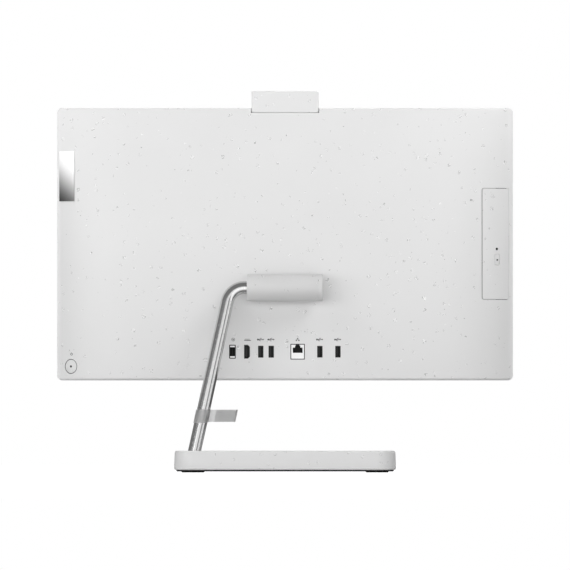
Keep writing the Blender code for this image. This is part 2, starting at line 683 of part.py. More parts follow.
def stand():
    tube = curve_body("stand_tube", tube_path(22.0, TUBE_FOOT_Z), TUBE_R, "brushed_aluminium", 6)
    cut(tube, curve_body("tube_bore", tube_path(20.0, TUBE_FOOT_Z - 4), TUBE_R - TUBE_WALL, None, 4))
    bore = rod("anchor_bore", tube_at(10.8), -tube_direction(), 8.0, 60)
    anchor = [(0, 16.1), (13, 16.1), (13, 4.0), (17, 4.0), (17, 0), (0, 0)]
    foot = tube_at(16)
    anchor = turned("tube_anchor", anchor, (foot.x, foot.y, 6.7), (0, 0, 1), "steel_sheet", False, 24)
    cut(anchor, bore, rod("anchor_thread", (foot.x, foot.y, 5), (0, 0, 1), 3.2, 8, steps=12))
    base(foot)


def base_loops(rows, shrink=0.0):
    loops = []
    for z, inset in rows:
        inset = inset + shrink
        x = (-BASE_HALF_W + inset, BASE_HALF_W - inset)
        y = (-BASE_HALF_D + inset, BASE_HALF_D - inset)
        loops.append([(u, v, z) for u, v in rectangle(x, y, BASE_RADIUS - inset, 6)])
    return loops


def base(foot):
    low, high = BASE_Z
    rows = ((low, 1.6), (low + 0.5, 0.6), (low + 1.8, 0.0), (high - 3.0, 0.5), (high - 1.0, 1.1))
    rows += ((high - 0.3, 2.0), (high, 3.2))
    shell = loft("base_shell", base_loops(rows), "white_plastic")
    inside = loft("base_inside", base_loops(((low - 1, 3.0), (high - 2.5, 3.4))))
    cut(shell, inside, rod("tube_hole", tube_at(15), -tube_direction(), 8.0, 40))
    plate = loft("base_weight_plate", base_loops(((3.4, 4.0), (6.4, 4.0))), "steel_sheet")
    cut(plate, rod("plate_bore", (foot.x, foot.y, 0), (0, 0, 1), 3.4, 10, steps=12))
    cover = loft("base_bottom_cover", base_loops(((1.2, 3.0), (1.7, 2.4), (2.9, 2.4))), "black_plastic")
    cut(cover, rod("cover_bore", (foot.x, foot.y, 0), (0, 0, 1), 6.4, 10, steps=16))
    screw = [(0, 7.3), (2.9, 7.3), (2.9, 1.6), (5.6, 1.6), (5.6, 0), (0, 0)]
    turned("base_screw", screw, (foot.x, foot.y, 1.5), (0, 0, 1), "steel_sheet", False, 12)
    spots = ((109, 78), (-109, 78), (-109, -78), (109, -78))
    for i, (x, y) in enumerate(spots):
        outline = rectangle((x - 13, x + 13), (y - 4.5, y + 4.5), 4.4, 3)
        pocket = rectangle((x - 13.3, x + 13.3), (y - 4.8, y + 4.8), 4.7, 3)
        prism(f"base_foot_{i + 1}", outline, "Z", 0.0, 1.5, "rubber_black")
        cut(cover, prism(f"foot_pocket_{i + 1}", pocket, "Z", 0.5, 1.8))


def slanted(name, outline, z, material=None, at=(0.0, 0.0, 0.0)):
    """An outline around the tube's centre, pushed along the slanting tube between two heights."""
    loops = []
    for height in z:
        centre = tube_at(height)
        loops.append([(centre.x + u, centre.y + v, height) for u, v in outline])
    return loft(name, loops, material, at)


def cable_clip():
    middle = tuple(tube_at(sum(CLIP_Z) / 2))
    clip = slanted("cable_clip", circle(0, 0, 8.75, 24), CLIP_Z, "grey_plastic", middle)
    hook = [(2, -8.6), (-38.6, -8.6), (-40.0, -8.0), (-40.6, -6.6), (-40.6, 2.9), (-40.0, 4.3)]
    hook += [(-38.6, 4.9), (-15.6, 4.9), (-15.6, 3.8), (-38.2, 3.8), (-39.2, 3.0), (-39.5, 2.2)]
    hook += [(-39.5, -5.9), (-39.2, -6.7), (-38.2, -7.4), (2, -7.4)]
    add(clip, slanted("clip_hook", hook, HOOK_Z))
    cut(clip, slanted("clip_bore", circle(0, 0, 8.1, 24), (CLIP_Z[0] - 5, CLIP_Z[1] + 5)))


def pivot(name, spot, pieces):
    """An empty on a joint axis, with the pieces that move about it as its children."""
    empty = bpy.data.objects.new(name, None)
    empty.location = Vector(spot) * MM
    empty.empty_display_size = 0.02
    PARTS.objects.link(empty)
    bpy.context.view_layer.update()
    for piece in pieces:
        piece.parent = empty
        piece.matrix_parent_inverse = empty.matrix_world.inverted()
    return empty


STAND_PIECES = ("base_", "stand_", "tube_", "hinge_shaft", "hinge_washers", "cable_clip")
TRAY_PIECES = ("drive_tray", "drive_bezel", "eject_button", "drive_spindle")


def pivots():
    solids = [obj for obj in PARTS.objects if obj.type == "MESH"]
    tray = [obj for obj in solids if obj.name in TRAY_PIECES]
    display = [obj for obj in solids if not obj.name.startswith(STAND_PIECES) and obj not in tray]
    tray_pivot = pivot("tray_slide", (BEZEL_X[0], -10.0, 271.0), tray)
    pivot("tilt_axis", (0, HINGE_Y, HINGE_Z), [*display, tray_pivot])


def build():
    clear_scene()
    make_paints()
    front_frame()
    rear_cover()
    screen()
    mainboard()
    cooling()
    storage()
    speakers()
    display_cable()
    ports()
    power_button()
    optical_drive()
    camera()
    badge()
    hinge()
    stand()
    cable_clip()
    pivots()


build()
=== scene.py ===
"""The looks of an all-in-one desktop computer seen from behind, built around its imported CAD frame.

Shapes are worked out in millimetres from the frame's own boxes, and a mesh is turned into metres when it is
made. The visible shells are finer versions of the CAD solids, made with the same rules."""

from math import copysign, cos, pi, radians, sin, sqrt, tan

import bmesh
import bpy
from mathutils import Matrix, Vector

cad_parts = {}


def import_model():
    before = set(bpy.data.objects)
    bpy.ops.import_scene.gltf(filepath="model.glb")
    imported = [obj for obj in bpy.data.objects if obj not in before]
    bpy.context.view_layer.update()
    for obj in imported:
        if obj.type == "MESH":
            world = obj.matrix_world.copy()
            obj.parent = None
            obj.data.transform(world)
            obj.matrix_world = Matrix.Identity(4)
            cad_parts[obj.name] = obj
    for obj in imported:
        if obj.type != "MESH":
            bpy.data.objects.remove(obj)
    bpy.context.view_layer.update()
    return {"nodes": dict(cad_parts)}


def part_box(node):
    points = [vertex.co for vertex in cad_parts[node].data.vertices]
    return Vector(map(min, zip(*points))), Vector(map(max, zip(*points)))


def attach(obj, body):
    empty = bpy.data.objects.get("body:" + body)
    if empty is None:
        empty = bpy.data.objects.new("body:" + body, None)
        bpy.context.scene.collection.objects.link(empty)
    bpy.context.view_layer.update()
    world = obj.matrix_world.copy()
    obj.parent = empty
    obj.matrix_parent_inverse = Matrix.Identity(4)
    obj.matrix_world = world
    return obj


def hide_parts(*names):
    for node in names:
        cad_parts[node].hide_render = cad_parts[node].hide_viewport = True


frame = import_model()

MM = 0.001
TO_MM = 1000.0


def span(node):
    """(lowest corner, highest corner) of a CAD node, in millimetres."""
    low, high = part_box(node)
    return Vector(low) / MM, Vector(high) / MM


# ---------------- driving sizes, from the frame

FRAME_LOW, FRAME_HIGH = span("front_frame")
COVER_LOW, COVER_HIGH = span("rear_cover")
CAMERA_LOW, CAMERA_HIGH = span("camera_housing")
BEZEL_LOW, BEZEL_HIGH = span("drive_bezel")
BASE_LOW, BASE_HIGH = span("base_shell")
BARREL_LOW, BARREL_HIGH = span("hinge_housing")
CAP_LOW, CAP_HIGH = span("hinge_end_cap")

# rear cover: swept back over SIDE_SWEEP from each side, thinner above TAPER_FROM_Z
COVER_HALF = COVER_HIGH.x
COVER_FRONT = COVER_LOW.y
BACK_Y = COVER_HIGH.y
COVER_RISE = 33.5
COVER_TAPER = 20.0
COVER_EDGE_Y = BACK_Y - COVER_RISE
TAPER_FROM_Z = 218.0
TAPER_SPAN = 214.5
SIDE_SWEEP = 110.0
COVER_WALL = 2.0
LOW_EDGE_R = 3.0
TOP_EDGE_R = 2.0
RIM_INSET = 0.25
RIM_HALF = FRAME_HIGH.x - RIM_INSET
RIM_LOW = FRAME_LOW.z + RIM_INSET
RIM_HIGH = FRAME_HIGH.z - RIM_INSET
THROUGH_BACK = (8, 20)
CAMERA_CENTRE_Z = 442.5
SCREEN_OPENING = ((-263.5, 263.5), (128.8, 425.3))
FRAME_WALL = 1.5

# hinge and stand
HINGE = (BARREL_LOW + BARREL_HIGH) / 2
HINGE_R = (BARREL_HIGH.z - BARREL_LOW.z) / 2
NECK_X = (-30.4, 30.4)
NECK_Z = (HINGE.z - 8.9, HINGE.z + 8.9)
TUBE_R = 7.675
TUBE_HOLE_R = 7.95
BEND_X = 64.8
BEND_RADIUS = 21.0
TUBE_LEAN = (0.2177, 0.145)
CLIP_R = 8.75
CLIP_BORE_R = 8.1

# sockets as (centre x, width, height), and the keys as (x, z) on the cover
PORT_Z = 143.0
MARK_Z = 157.4
DATA_PORTS = ((28.8, 6.4, 14.1), (16.4, 6.4, 14.1), (-41.2, 6.4, 13.8), (-62.6, 6.4, 13.8))
JACK = (62.3, 7.9, 16.5)
VIDEO = (45.1, 6.9, 16.4)
NETWORK = (-14.9, 17.1, 18.6)
SHELL_GAP = 0.05
SHELL_WALL = 0.6
SHELL_BACK = 0.5
ROOM_BACK = 2.5
POWER_KEY = (254.0, 125.7)
POWER_SIGN = (253.2, 140.4)
KEY_R = 8.05
KEY_HOLE_R = 8.8
EJECT_KEY = (-251.4, 252.4)
RELEASE = (-251.2, 265.0)
RELEASE_R = 1.6


# ---------------- materials


class Nodes:
    """Short ways to add nodes to a tree."""

    def __init__(self, tree):
        self.tree = tree

    def node(self, kind, inputs=(), **settings):
        made = self.tree.nodes.new("ShaderNode" + kind)
        for key, value in settings.items():
            setattr(made, key, value)
        for key, value in dict(inputs).items():
            if isinstance(value, bpy.types.NodeSocket):
                self.tree.links.new(value, made.inputs[key])
            else:
                made.inputs[key].default_value = value
        return made

    def place_mm(self):
        """X, Y and Z outputs of the object coordinates in millimetres."""
        return self.node("SeparateXYZ", {0: self.spot(TO_MM)}).outputs

    def spot(self, scale=1.0):
        """Object coordinates, so that a pattern moves with its piece, times a scale."""
        at = self.node("TexCoord").outputs["Object"]
        return self.node("VectorMath", {0: at, "Scale": scale}, operation="SCALE").outputs[0]

    def math(self, operation, a, b=0.0, c=0.0):
        return self.node("Math", {0: a, 1: b, 2: c}, operation=operation).outputs[0]

    def vector(self, operation, a, b):
        return self.node("VectorMath", {0: a, 1: b}, operation=operation).outputs[0]

    def noise(self, scale, detail, at=None, roughness=0.5):
        """A cloudy value, over the object coordinates unless others are given."""
        inputs = {"Vector": at or self.spot(), "Scale": scale, "Detail": detail, "Roughness": roughness}
        return self.node("TexNoise", inputs).outputs["Fac"]

    def remap(self, value, low, high, to_low=0.0, to_high=1.0, smooth=False):
        kind = "SMOOTHSTEP" if smooth else "LINEAR"
        inputs = {"Value": value, "From Min": low, "From Max": high, "To Min": to_low, "To Max": to_high}
        return self.node("MapRange", inputs, interpolation_type=kind, clamp=True).outputs["Result"]

    def mix(self, share, a, b):
        """A colour between a and b."""
        inputs = {0: share, 6: a, 7: b}
        return self.node("Mix", inputs, data_type="RGBA", clamp_factor=True).outputs[2]


class Paint(Nodes):
    """A Principled material and short ways to wire nodes into it."""

    def __init__(self, name, colour, roughness, metallic=0.0):
        self.material = bpy.data.materials.new(name)
        self.material.use_nodes = True
        super().__init__(self.material.node_tree)
        self.shader = self.tree.nodes["Principled BSDF"]
        self.set("Base Color", colour)
        self.set("Roughness", roughness)
        self.set("Metallic", metallic)

    def set(self, socket, value):
        self.shader.inputs[socket].default_value = value

    def wire(self, socket, output):
        self.tree.links.new(output, self.shader.inputs[socket])

    def bump(self, height, strength, distance):
        inputs = {"Height": height, "Strength": strength, "Distance": distance}
        self.wire("Normal", self.node("Bump", inputs).outputs["Normal"])

    def mottle(self, low, high, scale):
        """Lets the roughness wander between two values."""
        cloud = self.noise(scale, 3.0)
        self.wire("Roughness", self.remap(cloud, 0.3, 0.7, low, high))


def grey(value):
    """A neutral colour with its alpha."""
    return (value, value, value, 1.0)


def crumbs(paint, cell, radius, shift):
    """1 inside small round patches strewn through the plastic, and a random value for each patch."""
    at = paint.vector("ADD", paint.spot(1 / (cell * MM)), (shift, shift * 1.7, shift * 0.6))
    cells = paint.node("TexVoronoi", {"Vector": at, "Scale": 1.0}, voronoi_dimensions="3D")
    split = paint.node("SeparateColor", {0: cells.outputs["Color"]})
    reach = paint.remap(split.outputs[1], 0.0, 1.0, radius[0] / cell, radius[1] / cell)
    edge = paint.math("SUBTRACT", reach, cells.outputs["Distance"])
    return paint.remap(edge, 0.0, 0.35 / cell), split.outputs[0]


def band(paint, value, centre, half):
    """1 where a value is near the centre, which turns a cloud into thin winding lines."""
    away = paint.math("ABSOLUTE", paint.math("SUBTRACT", value, centre))
    return paint.remap(away, half * 0.5, half, 1.0, 0.0)


def flecked_plastic(name, tone):
    """White moulded plastic with short winding dark and pale fibres in it and a fine eggshell grain."""
    paint = Paint(name, grey(tone), 0.46)
    cloud = paint.noise(9.0, 2.0)
    body = paint.mix(paint.remap(cloud, 0.3, 0.7), grey(tone * 0.98), grey(tone))
    winding = paint.noise(420.0, 1.0)
    patch, lot = crumbs(paint, 9.6, (0.7, 2.9), 3.1)
    strength = paint.math("MULTIPLY", patch, paint.remap(lot, 0.0, 1.0, 0.25, 1.0))
    pale = paint.math("MULTIPLY", band(paint, winding, 0.535, 0.05), strength)
    body = paint.mix(pale, body, grey(min(tone * 1.25, 0.96)))
    dark = paint.math("MULTIPLY", band(paint, winding, 0.455, 0.038), strength)
    body = paint.mix(paint.math("MULTIPLY", dark, 0.85), body, grey(tone * 0.25))
    speck, lot = crumbs(paint, 8.3, (0.2, 0.75), 27.7)
    seen = paint.math("MULTIPLY", speck, paint.remap(lot, 0.0, 1.0, 0.1, 0.7))
    body = paint.mix(seen, body, grey(tone * 0.3))
    paint.wire("Base Color", body)
    grain = paint.noise(2600.0, 2.0)
    raised = paint.math("ADD", paint.math("MULTIPLY", grain, 0.5), paint.math("MULTIPLY", pale, 0.8))
    paint.bump(raised, 0.12, 0.00008)
    paint.mottle(0.41, 0.51, 60.0)
    return paint.material


def moulded_plastic(name, tone, roughness=0.5):
    """Plain moulded plastic with a fine grain."""
    paint = Paint(name, grey(tone), roughness)
    cloud = paint.noise(40.0, 3.0)
    paint.wire("Base Color", paint.mix(cloud, grey(tone * 0.85), grey(tone * 1.15)))
    paint.bump(paint.noise(1800.0, 2.0), 0.25, 0.00006)
    paint.mottle(roughness - 0.06, roughness + 0.06, 50.0)
    return paint.material


def smoked_plastic(name):
    """Smoke-grey see-through plastic, lightly frosted, with painted light: palest where the clip is one
    layer thick and light comes through it, darker over the tube behind it.
    """
    paint = Paint(name, grey(0.5), 0.4)
    cloud = paint.noise(70.0, 3.0)
    at = paint.place_mm()
    along = paint.math("MULTIPLY_ADD", at["Z"], TUBE_LEAN[0], at["X"])
    past_tube = paint.math("SUBTRACT", BEND_X + TUBE_LEAN[0] * HINGE.z, along)
    # painted light: paler where a single layer lets the light behind through; painted shade where the tube
    # lies behind the clip
    backlit_single_layer = paint.remap(past_tube, 15.2, 15.9, 1.0, 0.0)
    tube_behind_shade = paint.remap(past_tube, 7.6, 8.6, 1.0, 0.0)
    thick, thin, wisp = grey(0.6), grey(0.68), grey(0.76)
    body = paint.mix(tube_behind_shade, paint.mix(backlit_single_layer, thick, thin), thick)
    paint.wire("Base Color", paint.mix(paint.remap(cloud, 0.3, 0.7, 0.0, 0.08), body, wisp))
    paint.set("Transmission Weight", 0.8)
    paint.set("IOR", 1.3)
    paint.bump(paint.noise(900.0, 2.0), 0.15, 0.00005)
    paint.mottle(0.33, 0.46, 90.0)
    return paint.material


def drawn_metal(name, tone, roughness, stretch, coarse=900.0, depth=0.2):
    """Metal with fine lines left by drawing or rolling, close together across the stretch."""
    paint = Paint(name, grey(tone), roughness, 1.0)
    lines = paint.vector("MULTIPLY", paint.spot(), stretch)
    streak = paint.noise(coarse, 3.0, lines, 0.6)
    paint.wire("Base Color", paint.mix(streak, grey(tone * 0.86), grey(min(tone * 1.1, 1.0))))
    paint.wire("Roughness", paint.remap(streak, 0.3, 0.7, roughness * 0.8, roughness * 1.2))
    paint.bump(streak, depth, 0.00003)
    return paint.material


def circuit_board(name):
    """Green solder mask over fine copper tracks and pads."""
    paint = Paint(name, (0.02, 0.12, 0.05, 1), 0.35)
    tracks = paint.node("TexBrick", {"Vector": paint.spot(), "Scale": 260.0, "Mortar Size": 0.09})
    pads = paint.node("TexVoronoi", {"Vector": paint.spot(), "Scale": 230.0})
    dots = paint.remap(pads.outputs["Distance"], 0.12, 0.18, 1.0, 0.0)
    mask, raised_mask, pad = (0.012, 0.11, 0.045, 1), (0.03, 0.2, 0.08, 1), (0.5, 0.42, 0.25, 1)
    body = paint.mix(tracks.outputs["Fac"], mask, raised_mask)
    paint.wire("Base Color", paint.mix(dots, body, pad))
    paint.bump(dots, 0.3, 0.0001)
    paint.mottle(0.28, 0.42, 200.0)
    return paint.material


def copper(name):
    """Bare copper, unevenly tarnished."""
    paint = Paint(name, (0.75, 0.36, 0.2, 1), 0.32, 1.0)
    cloud = paint.noise(120.0, 4.0)
    paint.wire("Base Color", paint.mix(cloud, (0.6, 0.27, 0.14, 1), (0.86, 0.45, 0.27, 1)))
    paint.mottle(0.24, 0.42, 300.0)
    return paint.material


def rubber(name):
    """Matt black rubber with a rough skin."""
    paint = Paint(name, grey(0.025), 0.85)
    cloud = paint.noise(300.0, 3.0)
    paint.wire("Base Color", paint.mix(cloud, grey(0.018), grey(0.035)))
    paint.bump(paint.noise(1500.0, 3.0), 0.5, 0.0001)
    paint.mottle(0.78, 0.92, 200.0)
    return paint.material


def dark_screen(name, half_w, low_z, high_z):
    """A switched-off panel: near black glass with a blacker border round the picture area."""
    paint = Paint(name, (0.01, 0.01, 0.012, 1), 0.2)
    at = paint.place_mm()
    sides = paint.math("SUBTRACT", half_w, paint.math("ABSOLUTE", at["X"]))
    under = paint.math("SUBTRACT", at["Z"], low_z)
    above = paint.math("SUBTRACT", high_z, at["Z"])
    edge = paint.math("MINIMUM", sides, paint.math("MINIMUM", under, above))
    picture = paint.remap(edge, 0.0, 0.25)
    cloud = paint.noise(3.0, 2.0)
    lit = paint.mix(cloud, (0.009, 0.010, 0.013, 1), (0.014, 0.015, 0.018, 1))
    paint.wire("Base Color", paint.mix(picture, grey(0.003), lit))
    paint.bump(paint.noise(3000.0, 1.0), 0.06, 0.00003)
    paint.mottle(0.22, 0.28, 40.0)
    return paint.material


def dark_glass(name):
    """Black glass with a polished face."""
    paint = Paint(name, (0.006, 0.006, 0.008, 1), 0.06)
    cloud = paint.noise(90.0, 2.0)
    paint.wire("Base Color", paint.mix(cloud, grey(0.004), grey(0.009)))
    paint.mottle(0.04, 0.1, 60.0)
    paint.set("Coat Weight", 0.5)
    return paint.material


def name_plate(name, low_z, high_z, low_x, high_x):
    """Satin bright metal with a painted reflection: bright above, darkening towards its lower outer corner.
    """
    paint = Paint(name, grey(0.7), 0.5, 0.6)
    at = paint.place_mm()
    up = paint.remap(at["Z"], low_z, high_z)
    over = paint.remap(at["X"], high_x, low_x, -0.1, 0.12)
    # painted reflection: bright along the top of the plate, dark at its lower outer corner
    painted_reflection = paint.remap(paint.math("ADD", up, over), -0.1, 0.9, smooth=True)
    reflection_tint = paint.mix(painted_reflection, grey(0.03), grey(0.95))
    lines = paint.vector("MULTIPLY", paint.spot(), (1.0, 1.0, 14.0))
    streak = paint.noise(260.0, 3.0, lines, 0.6)
    brushed = paint.remap(streak, 0.2, 0.8, 0.0, 0.16)
    paint.wire("Base Color", paint.mix(brushed, reflection_tint, grey(0.45)))
    paint.wire("Roughness", paint.remap(streak, 0.3, 0.7, 0.45, 0.58))
    return paint.material


def printed_mark(name):
    """Thin grey ink, slightly worn."""
    paint = Paint(name, grey(0.1), 0.6)
    cloud = paint.noise(900.0, 3.0)
    paint.wire("Base Color", paint.mix(cloud, grey(0.07), grey(0.13)))
    return paint.material


# a darker copy of the flecked white for the hinge cylinder and cap: painted shade
SHADED_HINGE_WHITE = flecked_plastic("hinge_white_painted_shade", tone=0.66)
WHITE = flecked_plastic("flecked_white", tone=0.755)
SOCKET_WHITE = moulded_plastic("socket_white", tone=0.93, roughness=0.42)
SMOKE = smoked_plastic("smoked_grey")
BLACK = moulded_plastic("black_moulded", tone=0.016)
# used for black socket parts and also for the painted shade in the key gap and the release hole
DEEP_BLACK = moulded_plastic("deep_black_and_shade", tone=0.006, roughness=0.6)
GREY_PLASTIC = moulded_plastic("grey_moulded", tone=0.3)
RUBBER = rubber("black_rubber")
TUBE_METAL = drawn_metal("drawn_aluminium", 0.62, 0.16, stretch=(1.0, 1.0, 0.01), coarse=1500.0, depth=0.01)
ALUMINIUM = drawn_metal("rolled_aluminium", 0.65, 0.35, stretch=(0.1, 1.0, 1.0))
STEEL = drawn_metal("rolled_steel", 0.5, 0.38, stretch=(0.05, 1.0, 1.0))
DARK_STEEL = drawn_metal("dark_nickel", 0.05, 0.45, stretch=(1.0, 0.1, 1.0))
COPPER = copper("bare_copper")
BOARD = circuit_board("green_board")
GLASS = dark_glass("black_glass")
INK = printed_mark("grey_ink")


# ---------------- mesh helpers


def finish_mesh(bm, name, material):
    """An object at the origin holding this bmesh, whose lengths are in millimetres."""
    bmesh.ops.recalc_face_normals(bm, faces=bm.faces)
    bmesh.ops.scale(bm, verts=bm.verts, vec=(MM, MM, MM))
    mesh = bpy.data.meshes.new(name)
    bm.to_mesh(mesh)
    bm.free()
    obj = bpy.data.objects.new(name, mesh)
    bpy.context.scene.collection.objects.link(obj)
    if material:
        mesh.materials.append(material)
    return obj


def bridge(bm, lower, upper):
    """A band of four-sided faces between two rings of equally many corners."""
    for i in range(len(lower)):
        j = (i + 1) % len(lower)
        bm.faces.new((lower[i], lower[j], upper[j], upper[i]))


def sheet(bm, grid):
    """The faces of a grid of corners, row by row."""
    for lower, upper in zip(grid, grid[1:]):
        for i in range(len(lower) - 1):
            bm.faces.new((lower[i], lower[i + 1], upper[i + 1], upper[i]))


def rim_of(grid):
    """The outer corners of a grid, in order round it."""
    there = grid[0][:-1] + [row[-1] for row in grid[:-1]]
    return there + grid[-1][:0:-1] + [row[0] for row in grid[:0:-1]]


def loft(name, loops, material=None):
    """A closed body through loops of equally many points, with flat ends."""
    bm = bmesh.new()
    rings = [[bm.verts.new(point) for point in loop] for loop in loops]
    for lower, upper in zip(rings, rings[1:]):
        bridge(bm, lower, upper)
    bm.faces.new(rings[0][::-1])
    bm.faces.new(rings[-1])
    return finish_mesh(bm, name, material)


def ring_body(name, loops, material=None):
    """A body like a tyre: the last loop joins the first."""
    bm = bmesh.new()
    rings = [[bm.verts.new(point) for point in loop] for loop in loops]
    for lower, upper in zip(rings, rings[1:] + rings[:1]):
        bridge(bm, lower, upper)
    return finish_mesh(bm, name, material)


def on_axis(axis, u, v, w):
    """The point at (u, v) in the plane square to an axis, w along the axis."""
    return {"X": (w, u, v), "Y": (u, w, v), "Z": (u, v, w)}[axis]


def quarter_turn(steps):
    return [pi / 2 * i / steps for i in range(steps + 1)]


def rectangle(u, v, radius=0.0, steps=8):
    """The outline of a rectangle between two u and two v, with rounded corners if a radius is given."""
    if radius <= 0:
        return [(u[0], v[0]), (u[1], v[0]), (u[1], v[1]), (u[0], v[1])]
    corners = (
        (u[1] - radius, v[1] - radius, 0),
        (u[0] + radius, v[1] - radius, 90),
        (u[0] + radius, v[0] + radius, 180),
        (u[1] - radius, v[0] + radius, 270),
    )
    points = []
    for cu, cv, start in corners:
        for i in range(steps + 1):
            angle = radians(start + 90 * i / steps)
            points.append((cu + radius * cos(angle), cv + radius * sin(angle)))
    return points


def circle(cu, cv, radius, sides=48):
    turns = [2 * pi * i / sides for i in range(sides)]
    return [(cu + radius * cos(a), cv + radius * sin(a)) for a in turns]


def prism(name, outline, axis, low, high, material=None):
    """An outline pushed along an axis from low to high."""
    loops = [[on_axis(axis, u, v, w) for u, v in outline] for w in (low, high)]
    return loft(name, loops, material)


def block(name, x, y, z, material=None):
    """A box between two x, two y and two z."""
    return prism(name, rectangle(x, z), "Y", *y, material)


def blocks(name, spans, material=None):
    """Several separate boxes in one mesh."""
    bm = bmesh.new()
    for x, y, z in spans:
        size = (x[1] - x[0], y[1] - y[0], z[1] - z[0])
        middle = Vector((x[0] + x[1], y[0] + y[1], z[0] + z[1])) / 2
        bmesh.ops.create_cube(bm, size=1, matrix=Matrix.Translation(middle) @ Matrix.Diagonal((*size, 1)))
    return finish_mesh(bm, name, material)


def arc(radius, steps):
    """(run, drop) pairs round a quarter fillet, from its top edge to its outer side."""
    return [(radius * (1 - cos(a)), radius * (1 - sin(a))) for a in quarter_turn(steps)]


def turned(name, profile, foot, axis, material, sides):
    """A closed body from (radius, height) points turned about a world axis through foot."""
    loops = []
    for radius, height in profile:
        outline = circle(0, 0, max(radius, 0.001), sides)
        loops.append([Vector(foot) + Vector(on_axis(axis, u, v, height)) for u, v in outline])
    return loft(name, loops, material)


def boolean(target, operation, other):
    modifier = target.modifiers.new(other.name, "BOOLEAN")
    modifier.operation = operation
    modifier.solver = "EXACT"
    modifier.object = other


def cut(target, other):
    boolean(target, "DIFFERENCE", other)


def add(target, other):
    boolean(target, "UNION", other)


def keep_inside(target, other):
    boolean(target, "INTERSECT", other)


def settle(obj, sharp=32.0):
    """Applies the modifiers, drops the cutters and shades smooth up to an angle."""
    helpers = [m.object for m in obj.modifiers if m.type == "BOOLEAN"]
    graph = bpy.context.evaluated_depsgraph_get()
    graph.update()
    mesh = bpy.data.meshes.new_from_object(obj.evaluated_get(graph))
    mesh.name = obj.name
    obj.modifiers.clear()
    obj.data = mesh
    for helper in helpers:
        bpy.data.objects.remove(helper)
    mesh.shade_smooth()
    mesh.set_sharp_from_angle(angle=radians(sharp))
    return obj


def soften(obj, width):
    """Rounds the sharp edges of a simple body."""
    bevel = obj.modifiers.new("round_edges", "BEVEL")
    bevel.width = width * MM
    bevel.segments = 2
    bevel.limit_method = "ANGLE"
    bevel.angle_limit = radians(40)
    return obj


def place(obj, body, slot, *stands_for, sharp=32.0):
    """Settles a piece, seats it on its body and hides the CAD nodes that it stands for."""
    settle(obj, sharp)
    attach(obj, body)
    if stands_for:
        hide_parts(*stands_for)


# ---------------- rear cover


def side_share(x):
    """How much of its full rise the cover has at x, and the slope of that share."""
    s = min(max(COVER_HALF - abs(x), 0.0), SIDE_SWEEP)
    left = 1 - s / SIDE_SWEEP
    return 1 - left**3, 3 * left**2 / SIDE_SWEEP


def cover_rise(z):
    return COVER_RISE - COVER_TAPER * (max(z - TAPER_FROM_Z, 0.0) / TAPER_SPAN) ** 2


def cover_y(x, z):
    """The outer surface of the rear cover, swept back from both sides and thinner towards the top."""
    return COVER_EDGE_Y + cover_rise(z) * side_share(x)[0]


def edge_drop(z):
    """How far the rounded lower and upper edges fall away at a height."""
    for near, radius in ((z - RIM_LOW, LOW_EDGE_R), (RIM_HIGH - z, TOP_EDGE_R)):
        if 0 <= near < radius:
            return radius - sqrt(radius**2 - (radius - near) ** 2)
    return 0.0


def outer_y(x, z):
    return cover_y(x, z) - edge_drop(z)


def inner_y(x, z):
    slope = cover_rise(z) * side_share(x)[1]
    return cover_y(x, z) - COVER_WALL * sqrt(1 + slope**2)


def crowned(name, xs, zs, front, height, material=None):
    """A block with a flat front and a back surface y = height(x, z)."""
    bm = bmesh.new()
    back = [[bm.verts.new((x, height(x, z), z)) for x in xs] for z in zs]
    sheet(bm, back)
    rim = rim_of(back)
    flat = [bm.verts.new((vert.co.x, front, vert.co.z)) for vert in rim]
    bridge(bm, rim, flat)
    bm.faces.new(flat)
    return finish_mesh(bm, name, material)


def steps_between(low, high, count):
    return [low + (high - low) * i / count for i in range(count + 1)]


def side_grid(half):
    """Grid lines across the cover: close together where it curves, few where it is flat."""
    left = [-half + s for s in steps_between(0.0, SIDE_SWEEP, 40)]
    middle = steps_between(-half + SIDE_SWEEP, half - SIDE_SWEEP, 8)[1:-1]
    return left + middle + [-x for x in reversed(left)]


def height_grid(low, high):
    """Grid lines up the cover: close together round its lower and upper edges."""
    bottom = [low + LOW_EDGE_R * (1 - cos(a)) for a in quarter_turn(6)]
    top = [high - TOP_EDGE_R * (1 - cos(a)) for a in reversed(quarter_turn(5))]
    return bottom + steps_between(TAPER_FROM_Z, top[0], 40)[:-1] + top


def normal_at(x, z):
    """The way the cover faces, without its slight fall towards the top."""
    slope = cover_rise(z) * side_share(x)[1]
    return Vector((copysign(slope, x), 1.0, 0.0)).normalized()


def along_normal(name, outline, x, z, depths, material=None):
    """An outline drawn on the cover around (x, z) and pushed along its normal through these depths."""
    out = normal_at(x, z)
    across = out.cross(Vector((0.0, 0.0, 1.0)))
    centre = Vector((x, cover_y(x, z), z))
    loops = []
    for depth, shrink in depths:
        loop = [centre + across * u * shrink + Vector((0, 0, v * shrink)) for u, v in outline]
        loops.append([point + out * depth for point in loop])
    return loft(name, loops, material)


def around(port, grow=0.0):
    """The two x and two z of a socket's opening, grown on every side."""
    x, width, height = port
    u = (x - width / 2 - grow, x + width / 2 + grow)
    v = (PORT_Z - height / 2 - grow, PORT_Z + height / 2 + grow)
    return u, v


def video_outline(inset=0.0):
    """The video socket's opening, with both corners of one side cut off."""
    (x0, x1), (z0, z1) = around(VIDEO, -inset)
    chamfer = 2.4 - inset * 0.5
    square = [(x1, z0), (x1, z1)]
    return square + [(x0 + chamfer, z1), (x0, z1 - chamfer), (x0, z0 + chamfer), (x0 + chamfer, z0)]


